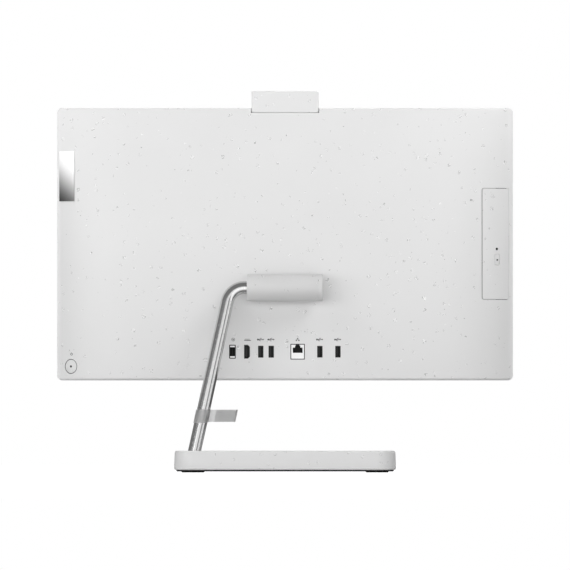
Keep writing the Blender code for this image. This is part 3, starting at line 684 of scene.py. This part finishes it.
def vent_cutters():
    """Exhaust slots in the top wall; intake slots and two rows of speaker slots in the bottom wall."""
    spans = []
    top = (COVER_HIGH.z - 5, COVER_HIGH.z + 5)
    bottom = (COVER_LOW.z - 5, COVER_LOW.z + 5)
    exhaust_x, exhaust_pitch, intake_x, intake_pitch, slot = 58, 9.0, -96, 12.0, 4
    for i in range(16):
        x = exhaust_x + i * exhaust_pitch
        spans.append(((x, x + slot), (-19.5, -8.5), top))
        x = intake_x + i * intake_pitch
        spans.append(((x, x + slot), (-14, 8), bottom))
    for side in (-1, 1):
        for i in range(8):
            x = side * (160 + i * 8.5)
            spans.append(((x - 1.5, x + 1.5), (-14, -4), bottom))
    return blocks("vent_slots", spans)


def socket_cutters():
    """The openings in the cover for the sockets, one after the other."""
    for number, port in enumerate(DATA_PORTS):
        yield prism(f"data_hole_{number}", rectangle(*around(port), 0.5, 3), "Y", *THROUGH_BACK)
    yield prism("jack_hole", rectangle(*around(JACK), 0.8, 4), "Y", *THROUGH_BACK)
    yield prism("video_hole", video_outline(), "Y", *THROUGH_BACK)
    yield prism("network_hole", rectangle(*around(NETWORK), 0.5, 3), "Y", *THROUGH_BACK)


def rear_cover():
    """The flecked back shell, hollow, with a tongue inside the front frame and all its openings."""
    low, high = COVER_LOW.z, COVER_HIGH.z
    xs, zs = side_grid(RIM_HALF), height_grid(RIM_LOW, RIM_HIGH)
    cover = crowned("cover_skin", xs, zs, COVER_FRONT, outer_y, WHITE)
    outline_r, tongue_r, drive_r = 5.8, 4.6, 2.8
    outline = rectangle((-RIM_HALF, RIM_HALF), (RIM_LOW, RIM_HIGH), outline_r, 12)
    keep_inside(cover, prism("cover_outline", outline, "Y", -40, 60))

    past = rectangle((-290, 290), (low - 20, high + 20))
    step = prism("frame_step", past, "Y", -40, FRAME_HIGH.y + 0.05)
    tongue = rectangle((-COVER_HALF, COVER_HALF), (low, high), tongue_r, 10)
    cut(step, prism("cover_tongue", tongue, "Y", -50, 60))
    cut(cover, settle(step))

    wall = 1.8
    xs = [-(COVER_HALF - wall) + s for s in (0, 3, 8, 15, 25, 38, 54, 74, 108.2)]
    xs += [-x for x in reversed(xs)]
    zs = (low + wall, TAPER_FROM_Z, 258, 298, 332, 364, 396, high - wall)
    cut(cover, crowned("cover_inside", xs, zs, COVER_FRONT - 1, inner_y))

    for cutter in socket_cutters():
        cut(cover, cutter)
    drive_x = (BEZEL_LOW.x - 9.0, BEZEL_HIGH.x + 0.8)
    drive = rectangle(drive_x, (BEZEL_LOW.z - 0.6, BEZEL_HIGH.z + 0.6), drive_r, 6)
    cut(cover, prism("drive_opening", drive, "Y", BEZEL_LOW.y - 1.0, 40))
    cut(cover, block("camera_notch", (-40.3, 40.3), (-30, 20), (CAMERA_LOW.z - 0.25, 440)))
    cut(cover, prism("neck_opening", rectangle(NECK_X, NECK_Z), "Y", 5, 25))
    cut(cover, along_normal("key_hole", circle(0, 0, KEY_HOLE_R), *POWER_KEY, ((-8, 1), (4, 1))))
    cut(cover, vent_cutters())
    place(cover, "display", "white_plastic", "rear_cover")


# ---------------- front frame


def front_frame():
    """The shallow tray round the screen, with its front edge rounded."""

    def outline(inset):
        x = (-FRAME_HIGH.x + inset, FRAME_HIGH.x - inset)
        z = (FRAME_LOW.z + inset, FRAME_HIGH.z - inset)
        return rectangle(x, z, 6.0 - inset * 0.8, 12)

    rows = [(FRAME_LOW.y + run, drop) for run, drop in arc(0.9, 4)]
    rows += [(FRAME_HIGH.y - run, drop) for run, drop in reversed(arc(0.7, 4))]
    loops = [[(u, y, v) for u, v in outline(inset)] for y, inset in rows]
    shell = loft("frame_skin", loops, WHITE)
    cut(shell, prism("frame_inside", outline(FRAME_WALL), "Y", FRAME_LOW.y + 1.7, FRAME_HIGH.y + 1))
    window = rectangle(*SCREEN_OPENING, 0.8, 4)
    cut(shell, prism("screen_window", window, "Y", FRAME_LOW.y - 1, FRAME_LOW.y + 3))
    cut(shell, block("frame_notch", (-40.1, 40.1), (-27.4, -17), (CAMERA_LOW.z - 0.4, 440)))
    place(shell, "display", "white_plastic", "front_frame")


# ---------------- stand


def tube_direction():
    """Down the straight leg."""
    return Vector((*TUBE_LEAN, -1.0)).normalized()


def tube_at(z):
    """The straight leg's centre at a height."""
    drop = HINGE.z - z
    return Vector((BEND_X + TUBE_LEAN[0] * drop, HINGE.y + TUBE_LEAN[1] * drop, z))


def tube_path():
    """The centre line: level out of the hinge, one bend, then straight down and outwards."""
    corner = Vector((BEND_X, HINGE.y, HINGE.z))
    level = Vector((1.0, 0.0, 0.0))
    down = tube_direction()
    turn = level.angle(down)
    start = corner - level * BEND_RADIUS * tan(turn / 2)
    inward = (down - level * down.dot(level)).normalized()
    centre = start + inward * BEND_RADIUS
    points = [Vector((x, HINGE.y, HINGE.z)) for x in (22.5, 36.0)]
    for a in steps_between(0.0, turn, 24):
        points.append(centre - inward * BEND_RADIUS * cos(a) + level * BEND_RADIUS * sin(a))
    points += [tube_at(z) for z in (160.0, 110.0, 60.0, 25.0, 13.0)]
    return points


def stand_tube():
    """A round bar swept along the centre line with every ring square to it."""
    path = tube_path()
    side = Vector((1.0, 0.0, 0.0)).cross(tube_direction()).normalized()
    loops = []
    for i, point in enumerate(path):
        ahead = (path[min(i + 1, len(path) - 1)] - path[max(i - 1, 0)]).normalized()
        up = ahead.cross(side).normalized()
        loops.append([point + side * u + up * v for u, v in circle(0, 0, TUBE_R - 0.02)])
    tube = loft("tube_skin", loops, TUBE_METAL)
    place(tube, "stand", "brushed_aluminium", "stand_tube", sharp=50)


def hinge_cylinder():
    """The white cylinder round the hinge and the cap on its closed end."""
    x0, x1 = CAP_HIGH.x + 0.02, BARREL_HIGH.x
    tube_hole, room, mouth = 8.1, 11.8, x1 - 3
    seam = [(HINGE_R - drop, x0 + run) for run, drop in arc(0.04, 2)]
    shoulder = [(HINGE_R - drop, x1 - run) for run, drop in reversed(arc(0.8, 5))]
    inside = [(tube_hole, mouth), (room, mouth), (room, x0)]
    loops = []
    for radius, x in inside + seam + shoulder + [(tube_hole, x1)]:
        loops.append([(x, HINGE.y + u, HINGE.z + v) for u, v in circle(0, 0, radius, 96)])
    barrel = ring_body("hinge_cylinder", loops, SHADED_HINGE_WHITE)
    cut(barrel, block("neck_slot", NECK_X, (0, HINGE.y), NECK_Z))
    place(barrel, "display", "white_plastic", "hinge_housing")

    x0, x1 = CAP_LOW.x, CAP_HIGH.x
    face = [(0, x0), (HINGE_R - 1.7, x0)]
    edge = [(HINGE_R - 1.5 * (1 - i / 4) ** 1.6, x0 + 0.1 + 1.7 * i / 4) for i in range(5)]
    back = [(HINGE_R, x1 - 0.04), (HINGE_R - 0.04, x1), (0, x1)]
    foot = (0, HINGE.y, HINGE.z)
    cap = turned("hinge_cap_skin", face + edge + back, foot, "X", SHADED_HINGE_WHITE, 96)
    place(cap, "display", "white_plastic", "hinge_end_cap")


def base_loop(z, inset):
    """The base's rounded outline at a height, drawn in by an inset."""
    x = (BASE_LOW.x + inset, BASE_HIGH.x - inset)
    y = (BASE_LOW.y + inset, BASE_HIGH.y - inset)
    return [(u, v, z) for u, v in rectangle(x, y, 23.0 - inset, 18)]


def base():
    """The flat base, hollow from below, with a slanting hole for the tube."""
    low, high = BASE_LOW.z, BASE_HIGH.z
    foot_run, foot_rise, brow, top_run = 1.6, 1.8, 3.0, 2.7
    rows = [(low + foot_rise * (1 - cos(a)), foot_run * (1 - sin(a))) for a in quarter_turn(6)]
    rows += [(low + 9.0, 0.15), (high - brow, 0.5)]
    for a in quarter_turn(8)[1:]:
        rows.append((high - brow + brow * sin(a), 0.5 + top_run * (1 - cos(a))))
    shell = loft("base_skin", [base_loop(z, inset) for z, inset in rows], WHITE)
    cut(shell, loft("base_inside", [base_loop(low - 1, 3.0), base_loop(high - 2.5, 3.4)]))

    along = -tube_direction()
    across = along.cross(Vector((0, 1, 0))).normalized()
    other = along.cross(across).normalized()
    rings = []
    for reach in (0.0, 30.0):
        centre = tube_at(15) + along * reach
        rings.append([centre + across * u + other * v for u, v in circle(0, 0, TUBE_HOLE_R)])
    cut(shell, loft("tube_hole", rings))
    place(shell, "stand", "white_plastic", "base_shell")


def slanted(name, outline, heights, material=None):
    """An outline in (x, y) about the tube, carried level from one height to the other along it."""
    loops = []
    for height in heights:
        centre = tube_at(height)
        loops.append([(centre.x + u, centre.y + v, height) for u, v in outline])
    return loft(name, loops, material)


def hook_corner(end, level, radius, steps, side=1):
    """A quarter turn from the hook's end face round to its upper (1) or lower (-1) side."""
    turns = quarter_turn(steps)
    return [(end + radius * (1 - cos(a)), level + side * radius * sin(a)) for a in turns]


def cable_clip():
    """A ring round the tube with a flat open hook for a cable."""
    low, high = span("cable_clip")
    ring = slanted("clip_skin", circle(0, 0, CLIP_R, 64), (low.z, high.z), SMOKE)
    end, inner_end, mouth, root = -40.6, -39.5, -15.6, 2
    outer_r, inner_r = 2.0, 1.1
    upper = hook_corner(end, 2.9, outer_r, 6) + [(mouth, 4.9), (mouth, 3.8)]
    upper += hook_corner(inner_end, 2.7, inner_r, 5)[::-1]
    lower = hook_corner(inner_end, -6.3, inner_r, 5, side=-1) + [(root, -7.4), (root, -8.6)]
    lower += hook_corner(end, -6.6, outer_r, 6, side=-1)[::-1]
    add(ring, slanted("clip_hook", upper + lower, (low.z + 1.2, high.z - 0.2)))
    cut(ring, slanted("clip_bore", circle(0, 0, CLIP_BORE_R, 64), (low.z - 5, high.z + 5)))
    place(ring, "clip", "grey_plastic", "cable_clip")


# ---------------- controls, camera and name plate


def power_key():
    """The round power button, a black ring that paints the shade in the gap round it, and the lamp in its
    middle.
    """
    disc = circle(0, 0, KEY_R)
    depths = [(-3.0, 1.0), (-0.45, 1.0), (-0.25, 0.985), (-0.15, 0.96)]
    key = along_normal("power_key_skin", disc, *POWER_KEY, depths, WHITE)
    place(key, "power_key", "white_plastic", "power_button")
    # painted shade: a black ring down in the gap stands in for the shade there
    limit, bore = circle(0, 0, KEY_HOLE_R - 0.02, 64), circle(0, 0, KEY_R + 0.08, 64)
    shade = along_normal("key_gap_shade", limit, *POWER_KEY, [(-1.9, 1), (-0.3, 1)], DEEP_BLACK)
    cut(shade, along_normal("shade_bore", bore, *POWER_KEY, [(-3, 1), (2, 1)]))
    place(shade, "display", "black_plastic")
    depths = [(-0.3, 1), (-0.08, 1), (-0.02, 0.8)]
    lamp = along_normal("power_lamp", circle(0, 0, 1.35, 24), *POWER_KEY, depths, DEEP_BLACK)
    place(lamp, "power_key", "black_plastic")


def drive_face():
    """The disc tray's face in the cover's surface, its eject key and its release hole."""
    xs = [-COVER_HALF + s for s in steps_between(1.0, 38.0, 24)]
    zs = [BEZEL_LOW.z - 4] + steps_between(TAPER_FROM_Z, BEZEL_HIGH.z + 4, 20)
    face = crowned("drive_face", xs, zs, -20, cover_y, WHITE)
    outline = rectangle((BEZEL_LOW.x + 0.5, BEZEL_HIGH.x), (BEZEL_LOW.z, BEZEL_HIGH.z), 2.0, 6)
    keep_inside(face, prism("face_outline", outline, "Y", BEZEL_LOW.y, 30))
    case_back = span("drive_case")[1].y
    cut(face, block("case_room", (-240.6, -230), (-20, case_back + 0.6), (200, 340)))
    slot = rectangle((-3.5, 3.5), (-6.7, 6.7), 1.9, 6)
    cut(face, along_normal("eject_hole", slot, *EJECT_KEY, [(-5.0, 1), (3, 1)]))
    hole = circle(0, 0, RELEASE_R, 24)
    cut(face, along_normal("release_hole", hole, *RELEASE, [(-8, 1), (3, 1)]))
    place(face, "tray", "white_plastic", "drive_bezel")

    # painted shade: a black sleeve in the release hole stands in for the shade inside it
    rim = circle(0, 0, RELEASE_R - 0.04, 24)
    black_lining_and_shade = along_normal("release_hole_shade", rim, *RELEASE, [(-1.6, 1), (-0.04, 1)], DEEP_BLACK)
    cut(black_lining_and_shade, along_normal("release_bore", circle(0, 0, 1.1, 24), *RELEASE, [(-1.2, 1), (2, 1)]))
    place(black_lining_and_shade, "tray", "black_plastic")

    outline = rectangle((-3.2, 3.2), (-6.4, 6.4), 1.6, 6)
    depths = [(-3.6, 1), (-0.2, 1), (0.0, 0.97), (0.08, 0.92)]
    key = along_normal("eject_key_skin", outline, *EJECT_KEY, depths, WHITE)
    place(key, "eject", "white_plastic", "eject_button")
    dot = circle(-0.2, -0.4, 1.15, 20)
    lamp = along_normal("eject_lamp", dot, *EJECT_KEY, [(0.0, 1), (0.1, 1)], DEEP_BLACK)
    place(lamp, "eject", "black_plastic")


def camera_block():
    """The camera's housing above the top edge, with a dark ring and a lens in its front."""

    def loop(y, inset):
        u = (CAMERA_LOW.x + inset, CAMERA_HIGH.x - inset)
        v = (CAMERA_LOW.z + inset, CAMERA_HIGH.z - inset)
        return [(a, y, b) for a, b in rectangle(u, v, 1.4, 8)]

    rows = [(CAMERA_LOW.y + run, drop) for run, drop in arc(0.8, 5)]
    rows += [(CAMERA_HIGH.y - run, drop) for run, drop in reversed(arc(0.8, 5))]
    shell = loft("camera_skin", [loop(y, inset) for y, inset in rows], WHITE)
    cut(shell, block("camera_room", (-36, 36), (-30, -8), (436, 449)))
    place(shell, "display", "white_plastic", "camera_housing")
    ring_r, lens_r, lens_y = 3.55, 2.2, -25.0
    ring = [(ring_r, -25.9), (ring_r, -25.75), (2.6, -25.2)]
    ring += [(lens_r, lens_y), (lens_r, -24.8), (ring_r, -24.8)]
    loops = [[(u, y, v) for u, v in circle(0, CAMERA_CENTRE_Z, radius, 40)] for radius, y in ring]
    place(ring_body("lens_ring", loops, BLACK), "display", "black_plastic")
    dome = [(lens_r * cos(a), lens_y - 0.5 * sin(a)) for a in quarter_turn(6)]
    foot = (0, 0, CAMERA_CENTRE_Z)
    lens = turned("lens_glass", [(lens_r, -24.9)] + dome, foot, "Y", GLASS, 40)
    place(lens, "display", "screen_glass")


def name_plate_piece():
    """A thin blank plate that follows the cover."""
    low, high = span("badge_plate")
    xs = steps_between(low.x, high.x, 18)
    zs = steps_between(low.z, high.z, 12)
    bm = bmesh.new()
    layers = []
    for lift in (0.3, 1.05):
        layers.append([[bm.verts.new((x, cover_y(x, z) + lift, z)) for x in xs] for z in zs])
    for layer in layers:
        sheet(bm, layer)
    bridge(bm, rim_of(layers[0]), rim_of(layers[1]))
    metal = name_plate("chrome_with_painted_reflection", low.z, high.z, low.x, high.x)
    place(finish_mesh(bm, "name_plate_blank", metal), "display", "chrome_plate", "badge_plate")


# ---------------- sockets and their marks


def sockets():
    """Every socket in the row, each a hollow shell with what fills it."""
    face = span("port_usb_1")[1].y
    for number, port in enumerate(DATA_PORTS):
        data_socket(number, port, face)
    power_jack(face)
    video_socket(face)
    network_socket(face)


def data_socket(number, port, face):
    label = number + 1
    outside = rectangle(*around(port, -SHELL_GAP), 0.4, 4)
    inside = rectangle(*around(port, -SHELL_GAP - SHELL_WALL), 0.2, 3)
    shell = prism(f"data_shell_{label}", outside, "Y", SHELL_BACK, face, DARK_STEEL)
    cut(shell, prism(f"data_room_{number}", inside, "Y", ROOM_BACK, face + 2))
    place(shell, "display", "steel_sheet", f"port_usb_{label}")
    x, _, height = port
    reach = height / 2 - 1.6
    tongue = (x + 0.3, x + 1.9), (2.6, face - 1.6), (PORT_Z - reach, PORT_Z + reach)
    tongue = soften(block(f"data_tongue_{label}", *tongue, BLACK), 0.3)
    place(tongue, "display", "black_plastic")
    contacts = []
    for k in range(4):
        z = PORT_Z + (k - 1.5) * 2.4
        contacts.append(((x + 1.92, x + 2.0), (4.0, face - 4.5), (z - 0.5, z + 0.5)))
    place(blocks(f"data_contacts_{label}", contacts, DARK_STEEL), "display", "steel_sheet")


def power_jack(face):
    outside = rectangle(*around(JACK, -SHELL_GAP), 0.6, 4)
    body = prism("jack_body", outside, "Y", SHELL_BACK, face, DEEP_BLACK)
    room = rectangle(*around((JACK[0], 4.5, 11.6)), 0.8, 4)
    cut(body, prism("jack_room", room, "Y", 3.5, face + 2))
    place(body, "display", "black_plastic", "port_power")
    x = JACK[0]
    for number, side in enumerate((-1, 1)):
        z = PORT_Z + side * 6.25
        strip = (x - 2.8, x + 2.8), (face - 0.1, face + 0.25), (z - 0.9, z + 0.9)
        strip = soften(block(f"jack_bar_{number + 1}", *strip, SOCKET_WHITE), 0.08)
        place(strip, "display", "white_plastic")
    tongue = (x - 0.5, x + 0.5), (3.6, face - 3), (PORT_Z - 3.5, PORT_Z + 3.5)
    place(soften(block("jack_tongue", *tongue, BLACK), 0.2), "display", "black_plastic")


def video_socket(face):
    shell = prism("video_shell", video_outline(SHELL_GAP), "Y", SHELL_BACK, face, DARK_STEEL)
    room = video_outline(SHELL_GAP + SHELL_WALL)
    cut(shell, prism("video_room", room, "Y", ROOM_BACK, face + 2))
    place(shell, "display", "steel_sheet", "port_hdmi")
    x = VIDEO[0]
    tongue = (x + 0.2, x + 1.7), (2.6, face - 1.8), (PORT_Z - 5.6, PORT_Z + 5.6)
    place(soften(block("video_tongue", *tongue, BLACK), 0.3), "display", "black_plastic")


def keyed_outline(shrink=1.0):
    """The stepped mouth of the network socket, drawn in towards its middle."""
    x, middle = NETWORK[0], 144.6
    half = ((5.9, 141.6), (5.9, 147.9), (3.3, 147.9), (3.1, 149.5), (2.0, 151.4))
    half = [(u * shrink, middle + (v - middle) * shrink) for u, v in half]
    return [(x + u, v) for u, v in half] + [(x - u, v) for u, v in reversed(half)]


def network_socket(face):
    rim_wall = 1.0
    outside = rectangle(*around(NETWORK, -SHELL_GAP), 0.5, 4)
    rim = prism("network_rim", outside, "Y", 2.0, face - 0.1, DEEP_BLACK)
    room = rectangle(*around(NETWORK, -SHELL_GAP - rim_wall), 0.5, 4)
    cut(rim, prism("rim_room", room, "Y", 1.0, face + 2))
    place(rim, "display", "black_plastic")
    within = rectangle(*around(NETWORK, -rim_wall), 0.5, 4)
    body = prism("network_body", within, "Y", SHELL_BACK, face, SOCKET_WHITE)
    cut(body, prism("network_room", keyed_outline(), "Y", ROOM_BACK, face + 2))
    place(body, "display", "white_plastic", "port_ethernet")
    black_lining_and_shade = prism("network_lining", keyed_outline(0.97), "Y", 2.6, face - 0.9, DEEP_BLACK)
    cut(black_lining_and_shade, prism("lining_room", keyed_outline(0.9), "Y", 3.4, face + 2))
    place(black_lining_and_shade, "display", "black_plastic")
    contacts = []
    for k in range(8):
        x = NETWORK[0] + (k - 3.5) * 1.1
        contacts.append(((x - 0.2, x + 0.2), (3.6, 9.0), (142.3, 142.7)))
    place(blocks("network_contacts", contacts, DARK_STEEL), "display", "steel_sheet")


def stroke(points, width):
    """The outline of a thin line through points."""
    left, right = [], []
    for i, point in enumerate(points):
        before = Vector(points[max(i - 1, 0)])
        after = Vector(points[min(i + 1, len(points) - 1)])
        along = (after - before).normalized()
        across = Vector((-along.y, along.x)) * width / 2
        left.append((point[0] + across.x, point[1] + across.y))
        right.append((point[0] - across.x, point[1] - across.y))
    return left + right[::-1]


def mark(name, outlines):
    """Thin ink on the flat of the back, from outlines in (x, z)."""
    bm = bmesh.new()
    for outline in outlines:
        low = [bm.verts.new((u, BACK_Y, v)) for u, v in outline]
        high = [bm.verts.new((u, BACK_Y + 0.02, v)) for u, v in outline]
        bridge(bm, low, high)
        bm.faces.new(low[::-1])
        bm.faces.new(high)
    place(finish_mesh(bm, name, INK), "display", "black_plastic")


def bar(x0, x1, z0, z1):
    return rectangle((x0, x1), (z0, z1))


def marks():
    """Generic line marks above the sockets, none of them lettering."""
    z = MARK_Z
    for number, (x, _, _) in enumerate(DATA_PORTS):
        shaft = stroke([(x + 3.4, z), (x - 2.8, z)], 0.8)
        head = [(x - 4.0, z), (x - 2.4, z + 1.1), (x - 2.4, z - 1.1)]
        upper = stroke([(x + 1.6, z), (x + 0.4, z + 1.5), (x - 1.4, z + 1.5)], 0.65)
        lower = stroke([(x + 2.4, z), (x + 1.2, z - 1.5), (x - 0.3, z - 1.5)], 0.65)
        mark(f"data_mark_{number + 1}", [shaft, head, upper, lower, circle(x + 3.4, z, 1.1, 16)])
    x = JACK[0] - 0.9
    turn = [radians(15 * i) for i in range(25)]
    ring = stroke([(x + 1.75 * sin(a), z + 1.75 * cos(a)) for a in turn], 0.5)
    mark("jack_mark", [circle(x, z, 0.7, 20), ring])
    x = VIDEO[0] - 0.6
    mark("video_mark", [bar(x - 4.0, x + 4.0, z - 1.5, z - 0.6), bar(x - 2.6, x + 3.4, z + 0.1, z + 0.7)])
    x = NETWORK[0]
    boxes = []
    for u, v in ((0, 1.2), (-1.5, -1.1), (1.5, -1.1)):
        boxes.append(bar(x + u - 0.75, x + u + 0.75, z + v - 0.7, z + v + 0.7))
    mark("network_mark", boxes + [bar(x - 1.8, x + 1.8, z - 0.1, z + 0.25)])
    turn = [radians(40 + 280 * i / 16) for i in range(17)]
    ring = stroke([(1.35 * sin(a), 1.35 * cos(a)) for a in turn], 0.7)
    for name, outline in (("power_sign", ring), ("power_sign_bar", bar(-0.33, 0.33, 0.1, 1.9))):
        sign = along_normal(name, outline, *POWER_SIGN, [(0.0, 1), (0.03, 1)], INK)
        place(sign, "display", "black_plastic")
    mark("lower_mark", [bar(98.8, 101.6, 113.9, 114.6)])


# ---------------- finishes for the CAD nodes that stay

KEPT = (
    (WHITE, ("privacy_shutter",)),
    (DEEP_BLACK, ("base_bottom_cover",)),
    (BLACK, ("backlight_unit", "camera_lens", "display_cable", "drive_tray", "fan_housing")),
    (BLACK, ("memory_socket", "speaker_left", "speaker_right")),
    (GREY_PLASTIC, ("fan_rotor",)),
    (RUBBER, ("base_foot_1", "base_foot_2", "base_foot_3", "base_foot_4")),
    (ALUMINIUM, ("heat_sink", "hard_drive")),
    (STEEL, ("base_weight_plate", "base_screw", "tube_anchor", "chassis_plate", "coin_cell", "processor")),
    (STEEL, ("hinge_barrel", "hinge_bracket", "hinge_shaft", "hinge_washers", "hard_drive_bracket")),
    (STEEL, ("drive_case", "drive_spindle")),
    (COPPER, ("cpu_cold_plate", "heat_pipe")),
    (BOARD, ("camera_board", "mainboard", "m2_ssd", "memory_module_1", "memory_module_2")),
    (BOARD, ("power_button_board", "wifi_card")),
    (GLASS, ("camera_window",)),
)


def finish_kept_nodes():
    """Gives the CAD nodes that stay their finishes."""
    panel = dark_screen("switched_off_panel", half_w=262.3, low_z=130.0, high_z=424.1)
    for material, names in KEPT + ((panel, ("lcd_panel",)),):
        for name in names:
            node = frame["nodes"][name]
            for slot in node.material_slots:
                slot.material = material
            if not node.material_slots:
                node.data.materials.append(material)


# ---------------- floor, light and camera, in metres


def floor():
    """A pale floor, white where it is seen, and a bright strip behind for the polished tube."""
    seen_glow, mirrored_glow = 0.93, 1.3
    strip_from_y, strip_full_y = 0.15, 0.45
    paint = Paint("pale_floor", grey(0.6), 0.9)
    paint.set("Emission Color", grey(1.0))
    path = paint.node("LightPath").outputs
    straight = paint.math("MAXIMUM", path["Is Camera Ray"], path["Is Transmission Ray"])
    at = paint.node("SeparateXYZ", {0: paint.spot()}).outputs
    # the strip glows only in reflections: a painted highlight in the polished tube
    strip = paint.math("MULTIPLY", paint.remap(at["Y"], strip_from_y, strip_full_y), mirrored_glow)
    mirrored = paint.math("MULTIPLY", path["Is Glossy Ray"], strip)
    paint.wire("Emission Strength", paint.math("ADD", paint.math("MULTIPLY", straight, seen_glow), mirrored))
    # in reflections the floor is dark grey: painted shade at the polished tube's edges
    paint.wire("Base Color", paint.mix(path["Is Glossy Ray"], grey(0.7), grey(0.2)))
    wide = (-9000, 9000)
    prism("studio_floor", rectangle(wide, wide), "Z", -0.6, -0.1, paint.material)


def world():
    """White where it is seen, also through clear plastic, and a grey surround for all other light."""
    made = bpy.data.worlds.new("studio")
    made.use_nodes = True
    made.node_tree.nodes.clear()
    nodes = Nodes(made.node_tree)
    path = nodes.node("LightPath").outputs
    straight = nodes.math("MAXIMUM", path["Is Camera Ray"], path["Is Transmission Ray"])
    surround = nodes.remap(path["Is Glossy Ray"], 0.0, 1.0, 0.1, 0.25)
    lit = nodes.node("Background", {"Color": grey(1.0), "Strength": surround})
    seen = nodes.node("Background", {"Color": grey(1.0), "Strength": 1.0})
    chosen = nodes.node("MixShader", {0: straight, 1: lit.outputs[0], 2: seen.outputs[0]})
    nodes.node("OutputWorld", {"Surface": chosen.outputs[0]})
    bpy.context.scene.world = made


def area_light(name, spot, target, size, power, size_y=None, mirrored=True):
    """A rectangular lamp at a spot, turned to a target; an unmirrored one shows in no reflection."""
    data = bpy.data.lights.new(name, "AREA")
    data.shape = "RECTANGLE"
    data.size = size
    data.size_y = size_y or size
    data.energy = power
    light = bpy.data.objects.new(name, data)
    light.location = spot
    light.visible_glossy = mirrored
    light.rotation_euler = (Vector(target) - Vector(spot)).to_track_quat("-Z", "Y").to_euler()
    bpy.context.scene.collection.objects.link(light)


CAMERA_DISTANCE = 16.0
CAMERA_HEIGHT = 0.024
AIM = Vector((0.00007, 0.0, 0.2222))
PICTURE_WIDTH = 0.6757
SENSOR_MM = 36.0


def camera():
    """A long lens far behind the object, looking slightly up at it."""
    data = bpy.data.cameras.new("photo_camera")
    data.sensor_width = SENSOR_MM
    data.lens = SENSOR_MM * CAMERA_DISTANCE / PICTURE_WIDTH
    data.clip_start = 0.1
    data.clip_end = 60.0
    made = bpy.data.objects.new("photo_camera", data)
    made.location = (AIM.x, CAMERA_DISTANCE, CAMERA_HEIGHT)
    made.rotation_euler = (AIM - made.location).to_track_quat("-Z", "Y").to_euler()
    bpy.context.scene.collection.objects.link(made)
    bpy.context.scene.camera = made


def studio():
    """Broad panels in front and at both sides, soft fill and one lamp overhead."""
    floor()
    world()
    middle = (0, 0, 0.22)
    area_light("front_wall", (0.3, 2.4, 0.3), middle, size=2.8, power=13, size_y=1.5)
    area_light("front_left", (1.15, 2.35, 0.3), middle, size=1.1, power=10)
    area_light("left_panel", (2.05, 1.6, 0.3), middle, size=1.1, power=13.5)
    area_light("right_panel", (-1.88, 1.35, 0.45), middle, size=1.25, power=3.9, size_y=1.3)
    area_light("top_left", (0.7, 0.45, 0.95), (0.2, 0, 0.3), size=0.5, power=2.9, mirrored=False)
    area_light("top_right", (-0.7, 0.45, 0.95), (-0.2, 0, 0.3), size=0.5, power=4.4, mirrored=False)
    area_light("front_fill", (0, 2.4, 0.25), (0, 0, 0.25), size=1.2, power=8.5, mirrored=False)
    area_light("overhead", (0, -1.3, 2.5), middle, size=1.1, power=24)
    camera()
    bpy.context.scene.view_settings.view_transform = "Standard"


rear_cover()
front_frame()
base()
stand_tube()
hinge_cylinder()
cable_clip()
power_key()
drive_face()
camera_block()
name_plate_piece()
sockets()
marks()
finish_kept_nodes()
studio()
